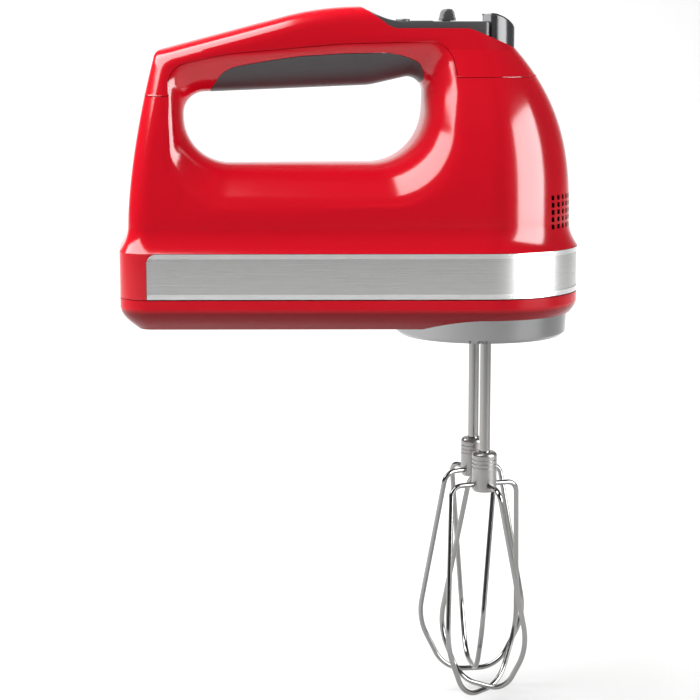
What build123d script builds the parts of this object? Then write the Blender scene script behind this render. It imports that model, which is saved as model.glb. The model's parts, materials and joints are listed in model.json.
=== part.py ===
"""Hand mixer: moulded housing, worm-drive motor and two wire beaters, as separate pieces.

Sizes are in millimetres and angles in degrees. Pieces are laid out from two datums, the
drive axis midway between the beaters and the flat underside of the pan, and are then
moved so that the origin lies at the centre of the hand grip. X runs to the nose, Z is up.
"""
import os
from math import acos, atan2, cos, degrees, hypot, pi, radians, sin, sqrt, tan

from build123d import *

# Body outline in plan: a round nose about the drive axis, tapering to a flat heel
NOSE_RADIUS = 42.4
BODY_BACK = 158.5
REAR_HALF = 30.0
REAR_CORNER = 14.0

# Body outline in height: skirt, waist, brow and the loft's own end above the roof
SPLIT_HEIGHT = 13.4
BAND_HEIGHT = 19.6
WAIST_RISE = 10.6
WAIST_STEP = 3.9
BROW_HEIGHT = 118.0
LOFT_RISE = 24.0

# How far the body draws in from the waist to the brow, and how late it does so
FRONT_FALL = 21.6
FRONT_POWER = 2.3
WIDTH_FALL = 20.0
WIDTH_POWER = 2.0
REAR_FALL = 12.6
REAR_POWER = 1.6
REAR_HALF_FALL = 12.0
REAR_HALF_POWER = 1.3
CORNER_FALL = 2.0
CROWN_FRONT_FALL = 9.0
CROWN_WIDTH_FALL = 2.0
FLARE_SHARES = (0.0, 0.4, 1.0)
RISE_SHARES = (0.3, 0.55, 0.78, 1.0)

# Roof of the handle: a straight climb, an arc to the peak, then the control deck
PEAK_BACK = 54.0
PEAK_HEIGHT = 136.5
PEAK_RADIUS = 129.0
CLIMB_ANGLE = 14.7
ROOF_CROWN = 30.0
ROOF_SPAN = 28.0
ROOF_EDGE = 5.0
DECK_HEIGHT = 127.1
DECK_BACK = 41.0
DECK_FRONT = 8.0
BROW_SLOPE = 22.0

# Hand opening at its throat, with the flare of each side at the outer skin
HOLE_BACK = 130.0
HOLE_FRONT = 26.5
HOLE_FLOOR = 69.8
HOLE_FLOOR_BACK = 106.0
HOLE_FLOOR_FRONT = 50.0
HOLE_FRONT_MID = 95.0
HOLE_ROOF_BACK = 99.8
HOLE_ROOF_MID = 103.0
HOLE_ROOF_MID_BACK = 50.0
HOLE_ROOF_FRONT = 108.3
FLARE_BACK = 6.6
FLARE_FRONT = 11.6
FLARE_FLOOR = 16.6
FLARE_ROOF = 16.0
FLARE_POWER = 3
FLARE_STEPS = 4

# Half-widths of the body where each flare is full, going round the opening
REACH_BACK_TOP = 17.0
REACH_BACK_LOW = 26.0
REACH_FLOOR_BACK = 28.8
REACH_FLOOR_FRONT = 33.8
REACH_FRONT_LOW = 36.5
REACH_FRONT_MID = 28.3
REACH_FRONT_TOP = 23.0
REACH_ROOF_FRONT = 18.6
REACH_ROOF_MID = 16.8
REACH_ROOF_BACK = 15.6

# Corner radii going round the opening
HOLE_BACK_TOP_BEND = 9.0
HOLE_BACK_LOW_BEND = 20.0
HOLE_FRONT_LOW_BEND = 23.0
HOLE_FRONT_TOP_BEND = 7.0
HOLE_ROOF_BEND = 30.0

# Shell walls and seams
WALL = 2.6
SEAM_GAP = 0.3
PAN_WALL = 2.4
PAN_DRAW = 8.0
PAN_STRIP = 4.0
PAN_POWER = 1.7
PAN_SHARES = (1.0, 0.7, 0.35, 0.0)

# Seam between the top cover and the housing
SEAM_REAR_HEIGHT = 98.6
SEAM_REAR_BACK = 137.6
SEAM_SHOULDER = 111.0
SEAM_MID_BACK = 112.0
SEAM_MID_HEIGHT = 116.1
SEAM_TOP_BACK = 62.0
SEAM_TOP_HEIGHT = 120.4
SEAM_FRONT_BACK = 21.0
SEAM_FRONT_HEIGHT = 121.4
SEAM_NOSE_BACK = 13.4
SEAM_NOSE_HEIGHT = 106.4
SEAM_BENDS = (2.5, 10.0, 60.0, 60.0, 9.0, 2.0)

# Soft grip under the handle
GRIP_THICKNESS = 2.2
GRIP_GAP = 0.15
GRIP_BACK = 118.7
GRIP_FRONT = 27.9
GRIP_BASE = 98.5
GRIP_TOP = 116.0
GRIP_TOP_BACK = 110.0
GRIP_SHOULDER = 111.4
GRIP_BACK_HEIGHT = 104.0
GRIP_PEAK_BACK = 72.0
GRIP_NOTCH_BACK = 41.0
GRIP_BENDS = (3.0, 8.0, 40.0, 8.0, 1.0)
CORE_HALF = 11.5
CORE_FOOT = 6.0
CORE_TILT = 22.5
CORE_TOP = 119.0
CORE_LAP = 5.0

# Hollows of the housing
BAY_RADIUS = 33.0
BAY_NECK = 19.5
BAY_BROW = 13.0
BAY_STRAIGHT = 24.0
BAY_ROOF = 6.0
BAY_BACK = 12.5
ARCH_BACK = 138.0
ARCH_BACK_HALF = 24.6
ARCH_FRONT = 12.0
ARCH_FRONT_HALF = 29.0
ARCH_GAP = 0.5
ARCH_RISE = 6.0
ARCH_STEP = 6.0
ARCH_CROWN = 9.0
ROOF_WALL = 4.4
DUCT_BACK = 143.0
DUCT_FRONT = 136.0
DUCT_HALF = 8.0
DUCT_TOP = 112.0

# Trim band and nose ring
BAND_BACK = 147.0
BAND_THICKNESS = 1.2
BAND_LIP = 2.1
BAND_SINK = 0.35
BAND_CORNER = 4.0
FIT_GAP = 0.2
RING_INSET = 3.9
RING_DROP = 6.0
RING_TOP = 8.0
RING_WALL = 2.4
RING_FLOOR = 1.6
RING_TAPER = 0.8
RING_CHAMFER = 1.4
RING_LIP = 5.0

# Nose vents: a grid of square holes round the front of the waist
VENT_ROWS = 5
VENT_COLUMNS = 15
VENT_PITCH = 3.1
VENT_ANGLE = 6.6
VENT_SIZE = 2.1
VENT_BASE = 43.0

# Control panel, display, switch and buttons
PANEL_BACK = 51.6
PANEL_FRONT = 1.6
PANEL_HALF = 12.6
PANEL_CORNER = 7.0
PANEL_SEAT = 1.2
PANEL_RISE = 3.0
PANEL_KNEE_BACK = 38.0
PANEL_CLIMB = 20.5
DISPLAY_BACK = 32.0
DISPLAY_LENGTH = 9.2
DISPLAY_WIDTH = 12.0
DISPLAY_SEAT = 1.0
DISPLAY_PROUD = 0.3
BUTTON_BACK = 35.2
BUTTON_SPREAD = 5.2
BUTTON_RADIUS = 2.5
BUTTON_PROUD = 1.1
BUTTON_TRAVEL = 0.6
BUTTON_STEM = 1.4
BUTTON_EDGE = 0.6
SWITCH_BACK = 16.2
SWITCH_LENGTH = 7.4
SWITCH_WIDTH = 12.0
SWITCH_PROUD = 5.3
SWITCH_FOOT = 1.1
SWITCH_FOOT_LENGTH = 10.4
SWITCH_TRAVEL = 6.0
SWITCH_STEM_LENGTH = 3.2
SWITCH_STEM_WIDTH = 4.0
SWITCH_STEM_DEPTH = 3.0
SWITCH_RAKE = 1.2
SWITCH_EDGE = 0.9
SLIDE_GAP = 0.35

# Beater ejector
EJECTOR_RADIUS = 12.2
EJECTOR_BACK = 0.4
EJECTOR_FRONT = 13.6
EJECTOR_TOP = 133.4
EJECTOR_FALL = 4.6
EJECTOR_SKIRT = 22.0
EJECTOR_EDGE = 1.4
EJECTOR_TRAVEL = 6.0
EJECTOR_ROD_X = 4.0
EJECTOR_ROD_RADIUS = 3.0
ROD_SOCKET = 9.0
YOKE_HEIGHT = 66.0
YOKE_BAR = 4.0
YOKE_HALF = 3.5
YOKE_PAD = 7.5
PRONG_RADIUS = 2.1
PRONG_GAP = 0.3
SPRING_RADIUS = 6.2
SPRING_WIRE = 0.9
SEAT_GAP = 0.3

# Worm drive: two starts, driving one wheel on each side
SHAFT_HEIGHT = 34.0
AXIS_HALF = 16.0
MODULE = 1.0
WHEEL_TEETH = 24
WORM_STARTS = 2
WORM_LENGTH = 30.0
TOOTH_BACKLASH = 0.4
ROOT_GAP = 0.25
WHEEL_WIDTH = 8.0
PRESSURE_ANGLE = 20.0
TOOTH_STEPS = 3
SPINDLE_RADIUS = 5.5
SPINDLE_BASE = 5.0
SPINDLE_TOP = 51.0
RUN_GAP = 0.05
PRESS_GAP = 0.02

# Gearbox
GEARBOX_FLOOR = 3.0
GEARBOX_INSET = 0.9
BUSH_WALL = 2.0
BUSH_LENGTH = 10.0
BUSH_PROUD = 1.0
BOSS_WALL = 2.5
PEDESTAL_HALF = 10.0
PEDESTAL_FRONT_X = 18.0
PEDESTAL_REAR_X = 25.0
LID_HEIGHT = 46.0
LID_THICKNESS = 3.0
LID_HALF_LENGTH = 21.0
LID_HALF_WIDTH = 27.8
LID_GAP = 0.4
LEG_X = 16.5
LEG_Y = 24.5
LEG_RADIUS = 3.0
GEARBOX_SCREW = 1.3
GEARBOX_SCREW_LENGTH = 14.0
GEARBOX_HEAD = 1.6

# Motor
SHAFT_RADIUS = 2.75
SHAFT_BACK = 132.0
SHAFT_FRONT = 24.6
STATOR_BACK = 97.0
STATOR_LENGTH = 38.0
STATOR_WIDTH = 50.0
STATOR_HEIGHT = 44.0
STATOR_CORNER = 9.0
STATOR_YOKE = 5.5
POLE_WIDTH = 22.0
ARMATURE_RADIUS = 15.4
AIR_GAP = 0.6
ARMATURE_SLOTS = 12
SLOT_WIDTH = 2.4
SLOT_DEPTH = 6.0
COIL_WIDTH = 7.0
COIL_HEIGHT = 4.4
COIL_GAP = 0.4
COIL_END = 1.0
COIL_BEND = 2.5
WINDING_RADIUS = 11.4
WINDING_LENGTH = 6.0
WINDING_SINK = 0.6
COMMUTATOR_BACK = 119.0
COMMUTATOR_LENGTH = 10.0
COMMUTATOR_RADIUS = 9.0
COMMUTATOR_BARS = 12
FAN_BACK = 50.0
FAN_LENGTH = 8.0
FAN_RADIUS = 23.0
FAN_HUB = 7.0
FAN_BLADES = 9
FAN_PLATE = 1.6
BEARING_RADIUS = 7.0
BEARING_LENGTH = 6.0
BEARING_PROUD = 1.0
BRACKET_BACK = 129.6
BRACKET_PLATE = 4.0
BRACKET_HALF = 21.0
BRACKET_RISE = 17.0
BRACKET_FOOT = 8.0
BRUSH_WIDTH = 6.0
BRUSH_LENGTH = 12.0
HOLDER_WALL = 1.2
CRADLE_WIDTH = 6.0

# Electrics
BOARD_BACK = 47.0
BOARD_LENGTH = 24.0
BOARD_HALF = 8.2
BOARD_THICKNESS = 1.6
BOARD_DROP = 6.0
HANGER_WIDTH = 2.0
SWITCH_BODY_LENGTH = 13.0
SWITCH_BODY_WIDTH = 12.0
SWITCH_BODY_HEIGHT = 8.0
INLET_BACK = 139.0
INLET_BORE = 3.6
INLET_WALL = 2.4
INLET_FLANGE = 2.6
INLET_LENGTH = 11.0
TERMINAL_BASE = 22.0
TERMINAL_LENGTH = 8.0
TERMINAL_WIDTH = 24.0
TERMINAL_HEIGHT = 12.0
TERMINAL_PITCH = 7.5
TERMINAL_WELL = 8.0
TERMINAL_BORE = 2.0

# Screws and the bosses that take them
PAN_SCREW_BACK = 136.0
PAN_SCREW_REAR_Y = 18.5
PAN_SCREW_FRONT = 36.5
PAN_SCREW_FRONT_Y = 26.5
PAN_SCREW_RADIUS = 1.6
PAN_SCREW_LENGTH = 16.0
PAN_HEAD_RADIUS = 3.2
PAN_HEAD_HEIGHT = 2.0
PAN_BOSS_RADIUS = 3.8
PAN_BOSS_TOP = 58.0
PAN_SINK = 3.4
BOSS_RIB = 3.5
RIB_HALF = 0.6
SCREW_SLOT = 0.8

# Beaters
SHANK_RADIUS = 2.4
SHANK_TOP = 41.0
FIN_BASE = 8.0
FIN_HEIGHT = 5.0
FIN_RADIUS = 3.9
FIN_THICKNESS = 1.2
COLLAR_RADIUS = 5.5
COLLAR_DROP = 57.0
COLLAR_LENGTH = 18.0
COLLAR_EDGE = 1.8
GROOVE_FIRST = 3.4
GROOVE_PITCH = 1.7
GROOVE_DEPTH = 0.3
GROOVE_WIDTH = 0.6
GROOVE_COUNT = 3
WIRE_RADIUS = 1.15
WIRE_RISE = 3.2
WIRE_SEAT = 2.2
LOOP_SHOULDER = 15.6
LOOP_SHOULDER_BEND = 5.0
LOOP_RADIUS = 25.0
LOOP_WIDEST = 70.0
LOOP_WIDEST_BEND = 28.0
LOOP_FOOT = 12.5
LOOP_FOOT_BEND = 15.0
LOOP_DEPTH = 95.0
LOOP_TWIST = 28.0
LOOP_STEP = 2.6
NEAR_LOOP_ANGLE = 15.0
BEATER_PHASE = 45.0
PORT_RADIUS = 6.4
PORT_WALL = 1.8
PORT_LENGTH = 4.0

# Where the hand grip's centre lies from the datums
GRIP_CENTRE_BACK = 73.0
GRIP_CENTRE_HEIGHT = 118.0

# Values that follow from those above
BAND_BASE = SPLIT_HEIGHT + SEAM_GAP
SKIRT_TOP = BAND_BASE + BAND_HEIGHT
WAIST_HEIGHT = SKIRT_TOP + WAIST_RISE
LOFT_TOP = BROW_HEIGHT + LOFT_RISE
RING_RADIUS = NOSE_RADIUS - RING_INSET
PITCH = pi * MODULE
WHEEL_RADIUS = MODULE * WHEEL_TEETH / 2
WORM_RADIUS = AXIS_HALF - WHEEL_RADIUS
WORM_LEAD = PITCH * WORM_STARTS
BORE_RADIUS = SHANK_RADIUS + RUN_GAP
BUSH_RADIUS = SPINDLE_RADIUS + RUN_GAP + BUSH_WALL
BEATER_SIDES = {"left": AXIS_HALF, "right": -AXIS_HALF}
PANEL_TOP = DECK_HEIGHT + PANEL_RISE
PANEL_FLOOR = DECK_HEIGHT - PANEL_SEAT
CEILING = DECK_HEIGHT - WALL
BOARD_TOP = CEILING - BOARD_DROP
ROD_BASE = YOKE_HEIGHT + YOKE_BAR
SKIN_HALF = NOSE_RADIUS + WALL


def save(name, *solids):
    """Write one named piece, moved so that the grip's centre is the origin."""
    shift = Pos(GRIP_CENTRE_BACK, 0, -GRIP_CENTRE_HEIGHT)
    shapes = [shift * solid for item in solids for solid in item.solids()]
    export_step(shapes[0] if len(shapes) == 1 else Compound(children=shapes), f"parts/{name}.step")


def slab(profile, half):
    """Side profile, drawn in X and Z, made into a block from one side to the other."""
    return extrude(Plane.XZ.offset(-half) * profile, 2 * half)


def polygon(*points):
    """Face inside straight lines from point to point."""
    return make_face(Polyline(*points, close=True))


def bar(x0, x1, y0, y1, z0, z1):
    """Plain block between two corners."""
    centre = Pos((x0 + x1) / 2, (y0 + y1) / 2, (z0 + z1) / 2)
    return centre * Box(x1 - x0, y1 - y0, z1 - z0)


def post(x, y, z0, z1, radius):
    """Upright cylinder between two heights."""
    return Pos(x, y, (z0 + z1) / 2) * Cylinder(radius, z1 - z0)


def axle(x0, x1, radius, y=0.0, z=SHAFT_HEIGHT):
    """Cylinder along X, on the motor's axis unless told otherwise."""
    return Pos((x0 + x1) / 2, y, z) * Rot(0, 90, 0) * Cylinder(radius, x1 - x0)


def tube(outer, inner, z0, z1, x=0.0, y=0.0):
    """Upright tube between two heights."""
    return post(x, y, z0, z1, outer) - post(x, y, z0, z1, inner)


def body_plan(nose_x, nose_radius, corner_x, corner_y, corner_radius):
    """Plan outline: nose circle and two rear corner circles joined by tangent lines."""
    span = hypot(nose_x - corner_x, corner_y)
    turn = atan2(-corner_y, nose_x - corner_x) + acos((corner_radius - nose_radius) / span)

    def reach(x, y, radius, angle):
        return (x + radius * cos(angle), y + radius * sin(angle))

    def other(point):
        return (point[0], -point[1])

    side_front = reach(nose_x, 0, nose_radius, turn)
    side_back = reach(corner_x, corner_y, corner_radius, turn)
    corner = reach(corner_x, corner_y, corner_radius, (turn + pi) / 2)
    heel = (corner_x - corner_radius, corner_y)
    return make_face([
        ThreePointArc(other(side_front), (nose_x + nose_radius, 0), side_front),
        Line(side_front, side_back),
        ThreePointArc(side_back, corner, heel),
        Line(heel, other(heel)),
        ThreePointArc(other(heel), other(corner), other(side_back)),
        Line(other(side_back), other(side_front)),
    ])


def body_section(height, inset=0.0):
    """Plan outline of the body at a height, drawn in by a wall or a recess."""
    flare = min(max((height - SKIRT_TOP) / WAIST_RISE, 0.0), 1.0)
    step = WAIST_STEP * (1 - (1 - flare) ** 2)
    climb = max((height - WAIST_HEIGHT) / (BROW_HEIGHT - WAIST_HEIGHT), 0.0)
    draw = min(climb, 1.0)
    crown = max(height - BROW_HEIGHT, 0.0) / LOFT_RISE
    half = NOSE_RADIUS - step - WIDTH_FALL * draw**WIDTH_POWER - CROWN_WIDTH_FALL * crown
    front = NOSE_RADIUS - step - FRONT_FALL * draw**FRONT_POWER - CROWN_FRONT_FALL * crown
    back = -BODY_BACK + step + REAR_FALL * climb**REAR_POWER
    rear_half = REAR_HALF - step - REAR_HALF_FALL * draw**REAR_HALF_POWER - CROWN_WIDTH_FALL * crown
    corner = REAR_CORNER - step - CORNER_FALL * climb
    plan = body_plan(front - half, half - inset, back + corner, rear_half - corner, corner - inset)
    return Pos(0, 0, height) * plan


def body_loft(base, inset):
    """Solid body from a base height, through the flare and the waist, to above the roof."""
    flare_steps = [SKIRT_TOP + WAIST_RISE * share for share in FLARE_SHARES]
    rise = LOFT_TOP - WAIST_HEIGHT
    upper_steps = [WAIST_HEIGHT + rise * share for share in RISE_SHARES]
    upper = loft([body_section(height, inset) for height in flare_steps + upper_steps])
    skirt = extrude(body_section(base, inset), SKIRT_TOP - base)
    return skirt + upper


def roof_height(x):
    """Height of the roof's ridge behind and at the peak."""
    back = -PEAK_BACK - x
    arc_end = PEAK_RADIUS * sin(radians(CLIMB_ANGLE))
    if back <= 0:
        return PEAK_HEIGHT
    if back < arc_end:
        return PEAK_HEIGHT - PEAK_RADIUS + sqrt(PEAK_RADIUS**2 - back**2)
    drop = PEAK_RADIUS * (1 - cos(radians(CLIMB_ANGLE)))
    return PEAK_HEIGHT - drop - (back - arc_end) * tan(radians(CLIMB_ANGLE))


def roof_arch(x, height):
    """Everything above an arched ridge, in the plane across the body at x."""
    sag = ROOF_CROWN - sqrt(ROOF_CROWN**2 - ROOF_SPAN**2)
    top = PEAK_HEIGHT + LOFT_RISE
    arch = ThreePointArc((-ROOF_SPAN, height - sag), (0, height), (ROOF_SPAN, height - sag))
    lid = Polyline(arch @ 1, (ROOF_SPAN, top), (-ROOF_SPAN, top), arch @ 0)
    return Plane.YZ.offset(x) * make_face([arch, *lid.edges()])


def roof_cut(drop):
    """Cutter above the climb and the peak, lowered by a wall for the inside."""
    arc_back = PEAK_BACK + PEAK_RADIUS * sin(radians(CLIMB_ANGLE))
    behind = BODY_BACK + SKIN_HALF
    climb = loft([roof_arch(-x, roof_height(-x) - drop) for x in (behind, arc_back)])
    shares = (1.0, 0.75, 0.5, 0.25, 0.0)
    stops = [PEAK_BACK + share * (arc_back - PEAK_BACK) for share in shares]
    bend = loft([roof_arch(-x, roof_height(-x) - drop) for x in stops])
    flat = loft([roof_arch(x, PEAK_HEIGHT - drop) for x in (-PEAK_BACK, NOSE_RADIUS)])
    return climb + bend + flat


def deck_cut(drop):
    """Block above the control deck and the slope down to the nose, or above a sunk seat."""
    nose_drop = (NOSE_RADIUS + DECK_FRONT) * tan(radians(BROW_SLOPE))
    profile = polygon(
        (-PEAK_BACK, PEAK_HEIGHT - drop),
        (-DECK_BACK, DECK_HEIGHT - drop),
        (-DECK_FRONT, DECK_HEIGHT - drop),
        (NOSE_RADIUS, DECK_HEIGHT - nose_drop - drop),
        (NOSE_RADIUS, PEAK_HEIGHT + LOFT_RISE),
        (-PEAK_BACK, PEAK_HEIGHT + LOFT_RISE),
    )
    return slab(profile, SKIN_HALF)


def hole_outline(depth, grow):
    """Outline of the hand opening at a depth from the mid-plane, grown by a wall."""

    def flare(amount, reach):
        return grow + amount * (((depth + grow) / reach) ** FLARE_POWER - (grow / reach) ** FLARE_POWER)

    back_top = -HOLE_BACK - flare(FLARE_BACK, REACH_BACK_TOP)
    back_low = -HOLE_BACK - flare(FLARE_BACK, REACH_BACK_LOW)
    front_low = -HOLE_FRONT + flare(FLARE_FRONT, REACH_FRONT_LOW)
    front_mid = -HOLE_FRONT + flare(FLARE_FRONT, REACH_FRONT_MID)
    front_top = -HOLE_FRONT + flare(FLARE_FRONT, REACH_FRONT_TOP)
    corners = [
        (back_top, HOLE_ROOF_BACK + flare(FLARE_ROOF, REACH_ROOF_BACK)),
        (back_low, HOLE_FLOOR - flare(FLARE_FLOOR, REACH_BACK_LOW)),
        (-HOLE_FLOOR_BACK, HOLE_FLOOR - flare(FLARE_FLOOR, REACH_FLOOR_BACK)),
        (-HOLE_FLOOR_FRONT, HOLE_FLOOR - flare(FLARE_FLOOR, REACH_FLOOR_FRONT)),
        (front_low, HOLE_FLOOR - flare(FLARE_FLOOR, REACH_FRONT_LOW)),
        (front_mid, HOLE_FRONT_MID),
        (front_top, HOLE_ROOF_FRONT + flare(FLARE_ROOF, REACH_ROOF_FRONT)),
        (-HOLE_ROOF_MID_BACK, HOLE_ROOF_MID + flare(FLARE_ROOF, REACH_ROOF_MID)),
    ]
    bends = [
        HOLE_BACK_TOP_BEND,
        HOLE_BACK_LOW_BEND,
        0,
        0,
        HOLE_FRONT_LOW_BEND,
        0,
        HOLE_FRONT_TOP_BEND,
        HOLE_ROOF_BEND,
    ]
    return make_face(FilletPolyline(*corners, radius=bends, close=True).edges())


def cut_hole(solid, grow):
    """Take the hand opening out of a solid, flaring to each side from its throat."""
    depths = [SKIN_HALF * step / FLARE_STEPS for step in range(FLARE_STEPS + 1)]
    horn = loft([Plane.XZ.offset(-depth) * hole_outline(depth, grow) for depth in depths])
    return solid - horn - mirror(horn, about=Plane.XZ)


def outer_edges(faces):
    """Edges that bound a group of faces."""
    edges = [edge for face in faces for edge in face.edges()]
    return ShapeList([edge for edge in edges if sum(edge.is_same(other) for other in edges) == 1])


def outer_body():
    """Outer form of the housing and the top cover together, with the hand opening."""
    body = body_loft(BAND_BASE, 0.0) - roof_cut(0.0)
    high = [face for face in body.faces() if face.center().Z > BROW_HEIGHT - WALL]
    roof = [face for face in high if face.normal_at().Z > cos(radians(2 * BROW_SLOPE))]
    body = body.fillet(ROOF_EDGE, outer_edges(roof))
    return cut_hole(body - deck_cut(0.0), 0.0)


def nose_bay():
    """Round hollow of the nose, narrowing upwards, kept clear of the hand opening."""
    profile = polygon(
        (0, BAND_BASE - SEAM_GAP),
        (BAY_RADIUS, BAND_BASE - SEAM_GAP),
        (BAY_RADIUS, WAIST_HEIGHT + BAY_STRAIGHT),
        (BAY_NECK, SEAM_NOSE_HEIGHT),
        (BAY_BROW, CEILING - BAY_ROOF),
        (0, CEILING - BAY_ROOF),
    )
    bay = revolve(Plane.XZ * profile, Axis.Z)
    return bay & bar(-BAY_BACK, NOSE_RADIUS, -NOSE_RADIUS, NOSE_RADIUS, 0, LOFT_TOP)


def motor_bay():
    """Hollow of the lower body, with an arched roof under the hand opening."""
    floor = Pos(0, 0, BAND_BASE - WAIST_HEIGHT - SEAM_GAP) * body_section(WAIST_HEIGHT, WALL)
    lower = extrude(floor, WAIST_HEIGHT - BAND_BASE + SEAM_GAP)

    def arch(x, half):
        crown = HOLE_FLOOR - WALL - ARCH_GAP
        spring = WAIST_HEIGHT - WALL
        right = [(half, spring), (half, spring + ARCH_RISE), (half - ARCH_STEP, crown - ARCH_STEP)]
        left = [(-y, z) for y, z in reversed(right)]
        top = [(ARCH_CROWN, crown), (-ARCH_CROWN, crown)]
        return Plane.YZ.offset(x) * polygon(*right, *top, *left)

    arched = loft([arch(-ARCH_BACK, ARCH_BACK_HALF), arch(-ARCH_FRONT, ARCH_FRONT_HALF)], ruled=True)
    return lower + arched


def core_bar(wall):
    """Stiff channel of the handle inside the soft grip, or its hollow one wall further in."""
    half = CORE_HALF - wall
    foot = CORE_FOOT - wall * tan(radians(CORE_TILT))

    def section(x, height):
        base = height + GRIP_THICKNESS + wall
        shoulder = base + half - foot
        right = [(foot, base), (half, shoulder), (half, CORE_TOP)]
        left = [(-y, z) for y, z in reversed(right)]
        return Plane.YZ.offset(x) * polygon(*right, *left)

    stops = [
        (-HOLE_BACK - CORE_LAP + wall, HOLE_ROOF_BACK),
        (-HOLE_ROOF_MID_BACK, HOLE_ROOF_MID),
        (-HOLE_FRONT + CORE_LAP, HOLE_ROOF_FRONT),
    ]
    return loft([section(x, height) for x, height in stops], ruled=True)


def cover_bay():
    """Hollow under the roof of the top cover, open to the handle's channel."""
    half = CORE_HALF - WALL
    climb_foot = -HOLE_BACK - CORE_LAP + WALL
    profile = polygon(
        (climb_foot, SEAM_SHOULDER),
        (climb_foot, roof_height(climb_foot) - ROOF_WALL),
        (-PEAK_BACK - CORE_LAP, roof_height(-PEAK_BACK - CORE_LAP) - ROOF_WALL),
        (-DECK_BACK - CORE_LAP, CEILING),
        (-DECK_FRONT, CEILING),
        (-DECK_FRONT, SEAM_SHOULDER),
    )
    return slab(profile, half)


def post_duct():
    """Wiring duct down the rear post, from the handle to the motor bay."""
    return bar(-DUCT_BACK, -DUCT_FRONT, -DUCT_HALF, DUCT_HALF, WAIST_HEIGHT - WALL, DUCT_TOP)


def seam_profile(gap):
    """Side profile of everything above the seam of the top cover."""
    line = FilletPolyline(
        (-BODY_BACK - SKIN_HALF, SEAM_REAR_HEIGHT),
        (-SEAM_REAR_BACK, SEAM_REAR_HEIGHT),
        (-SEAM_REAR_BACK, SEAM_SHOULDER),
        (-SEAM_MID_BACK, SEAM_MID_HEIGHT),
        (-SEAM_TOP_BACK, SEAM_TOP_HEIGHT),
        (-SEAM_FRONT_BACK, SEAM_FRONT_HEIGHT),
        (-SEAM_NOSE_BACK, SEAM_NOSE_HEIGHT),
        (NOSE_RADIUS + SKIN_HALF, SEAM_NOSE_HEIGHT),
        radius=SEAM_BENDS,
    )
    front = NOSE_RADIUS + SKIN_HALF
    back = -BODY_BACK - SKIN_HALF
    lid = Polyline(line @ 1, (front, LOFT_TOP), (back, LOFT_TOP), line @ 0)
    profile = make_face([*line.edges(), *lid.edges()])
    return offset(profile, gap) if gap else profile


def grip_profile(gap):
    """Side profile of the soft grip, open downwards into the hand opening."""
    line = FilletPolyline(
        (-GRIP_BACK, GRIP_BASE),
        (-GRIP_BACK, GRIP_BACK_HEIGHT),
        (-GRIP_TOP_BACK, GRIP_SHOULDER),
        (-GRIP_PEAK_BACK, GRIP_TOP),
        (-GRIP_NOTCH_BACK, GRIP_TOP),
        (-GRIP_FRONT, HOLE_ROOF_FRONT - GRIP_THICKNESS),
        (-GRIP_FRONT, GRIP_BASE),
        radius=GRIP_BENDS,
    )
    profile = make_face([*line.edges(), Line(line @ 1, line @ 0)])
    return offset(profile, gap) if gap else profile


def housing_parts():
    """Main housing, top cover and soft grip, cut from one outer form."""
    body = outer_body()
    above = slab(seam_profile(0.0), SKIN_HALF)
    cover = (body & above) - cover_bay() - core_bar(WALL) - nose_bay()
    lower = body - slab(seam_profile(SEAM_GAP), SKIN_HALF)
    grip = (lower & slab(grip_profile(0.0), SKIN_HALF)) - core_bar(-GRIP_GAP)
    housing = lower - slab(grip_profile(GRIP_GAP), SKIN_HALF)
    housing = housing + (core_bar(0.0) & lower)
    housing = housing - core_bar(WALL) - nose_bay() - motor_bay() - post_duct() - cover_bay()
    return housing, cover, grip


def vent_grid():
    """Square holes in rows and columns round the front of the waist."""
    depth = 2 * (NOSE_RADIUS - BAY_RADIUS + WALL)
    cutters = []
    for column in range(VENT_COLUMNS):
        turn = Rot(0, 0, (column - (VENT_COLUMNS - 1) / 2) * VENT_ANGLE)
        for row in range(VENT_ROWS):
            place = Pos(NOSE_RADIUS, 0, VENT_BASE + row * VENT_PITCH)
            cutters.append(turn * place * Box(depth, VENT_SIZE, VENT_SIZE))
    return cutters


def pan_screw_points():
    """Places of the four screws that hold the pan."""
    rear = [(-PAN_SCREW_BACK, side * PAN_SCREW_REAR_Y) for side in (1, -1)]
    front = [(-PAN_SCREW_FRONT, side * PAN_SCREW_FRONT_Y) for side in (1, -1)]
    return rear + front


def pan_bosses():
    """Bosses for the pan's screws, each tied to the side wall by a rib."""
    bosses = []
    for x, y in pan_screw_points():
        boss = post(x, y, PAN_SINK + PAN_WALL + SEAT_GAP, PAN_BOSS_TOP, PAN_BOSS_RADIUS)
        wall = y * (1 + (PAN_BOSS_RADIUS + BOSS_RIB) / abs(y))
        rib = bar(x - RIB_HALF, x + RIB_HALF, min(y, wall), max(y, wall), BAND_BASE, WAIST_HEIGHT - WALL)
        bosses.append(boss + rib - post(x, y, 0, PAN_SINK + PAN_SCREW_LENGTH, PAN_SCREW_RADIUS))
    return bosses


def main_housing(shell):
    """Housing with the band's recess, the vents and the bosses for the pan's screws."""
    ring = body_section(BAND_BASE) - body_section(BAND_BASE, BAND_THICKNESS + FIT_GAP)
    reach = bar(-BAND_BACK - FIT_GAP, NOSE_RADIUS, -SKIN_HALF, SKIN_HALF, 0, LOFT_TOP)
    recess = extrude(ring, BAND_HEIGHT) & reach
    return (shell - recess - vent_grid()) + pan_bosses()


def pan_section(height, inset):
    """Plan of the pan at a height, drawn in towards the underside."""
    strip = SPLIT_HEIGHT - PAN_STRIP
    draw = PAN_DRAW * (max(strip - height, 0.0) / strip) ** PAN_POWER
    return Pos(0, 0, height - BAND_BASE) * body_section(BAND_BASE, inset + draw)


def pan_block(inset):
    """Rounded block of the pan, drawn in and lifted by a wall for the hollow."""
    strip = SPLIT_HEIGHT - PAN_STRIP
    rounded = loft([pan_section(strip * share, inset) for share in PAN_SHARES])
    rim = extrude(pan_section(strip, inset), PAN_STRIP)
    return Pos(0, 0, inset) * (rounded + rim)


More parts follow.
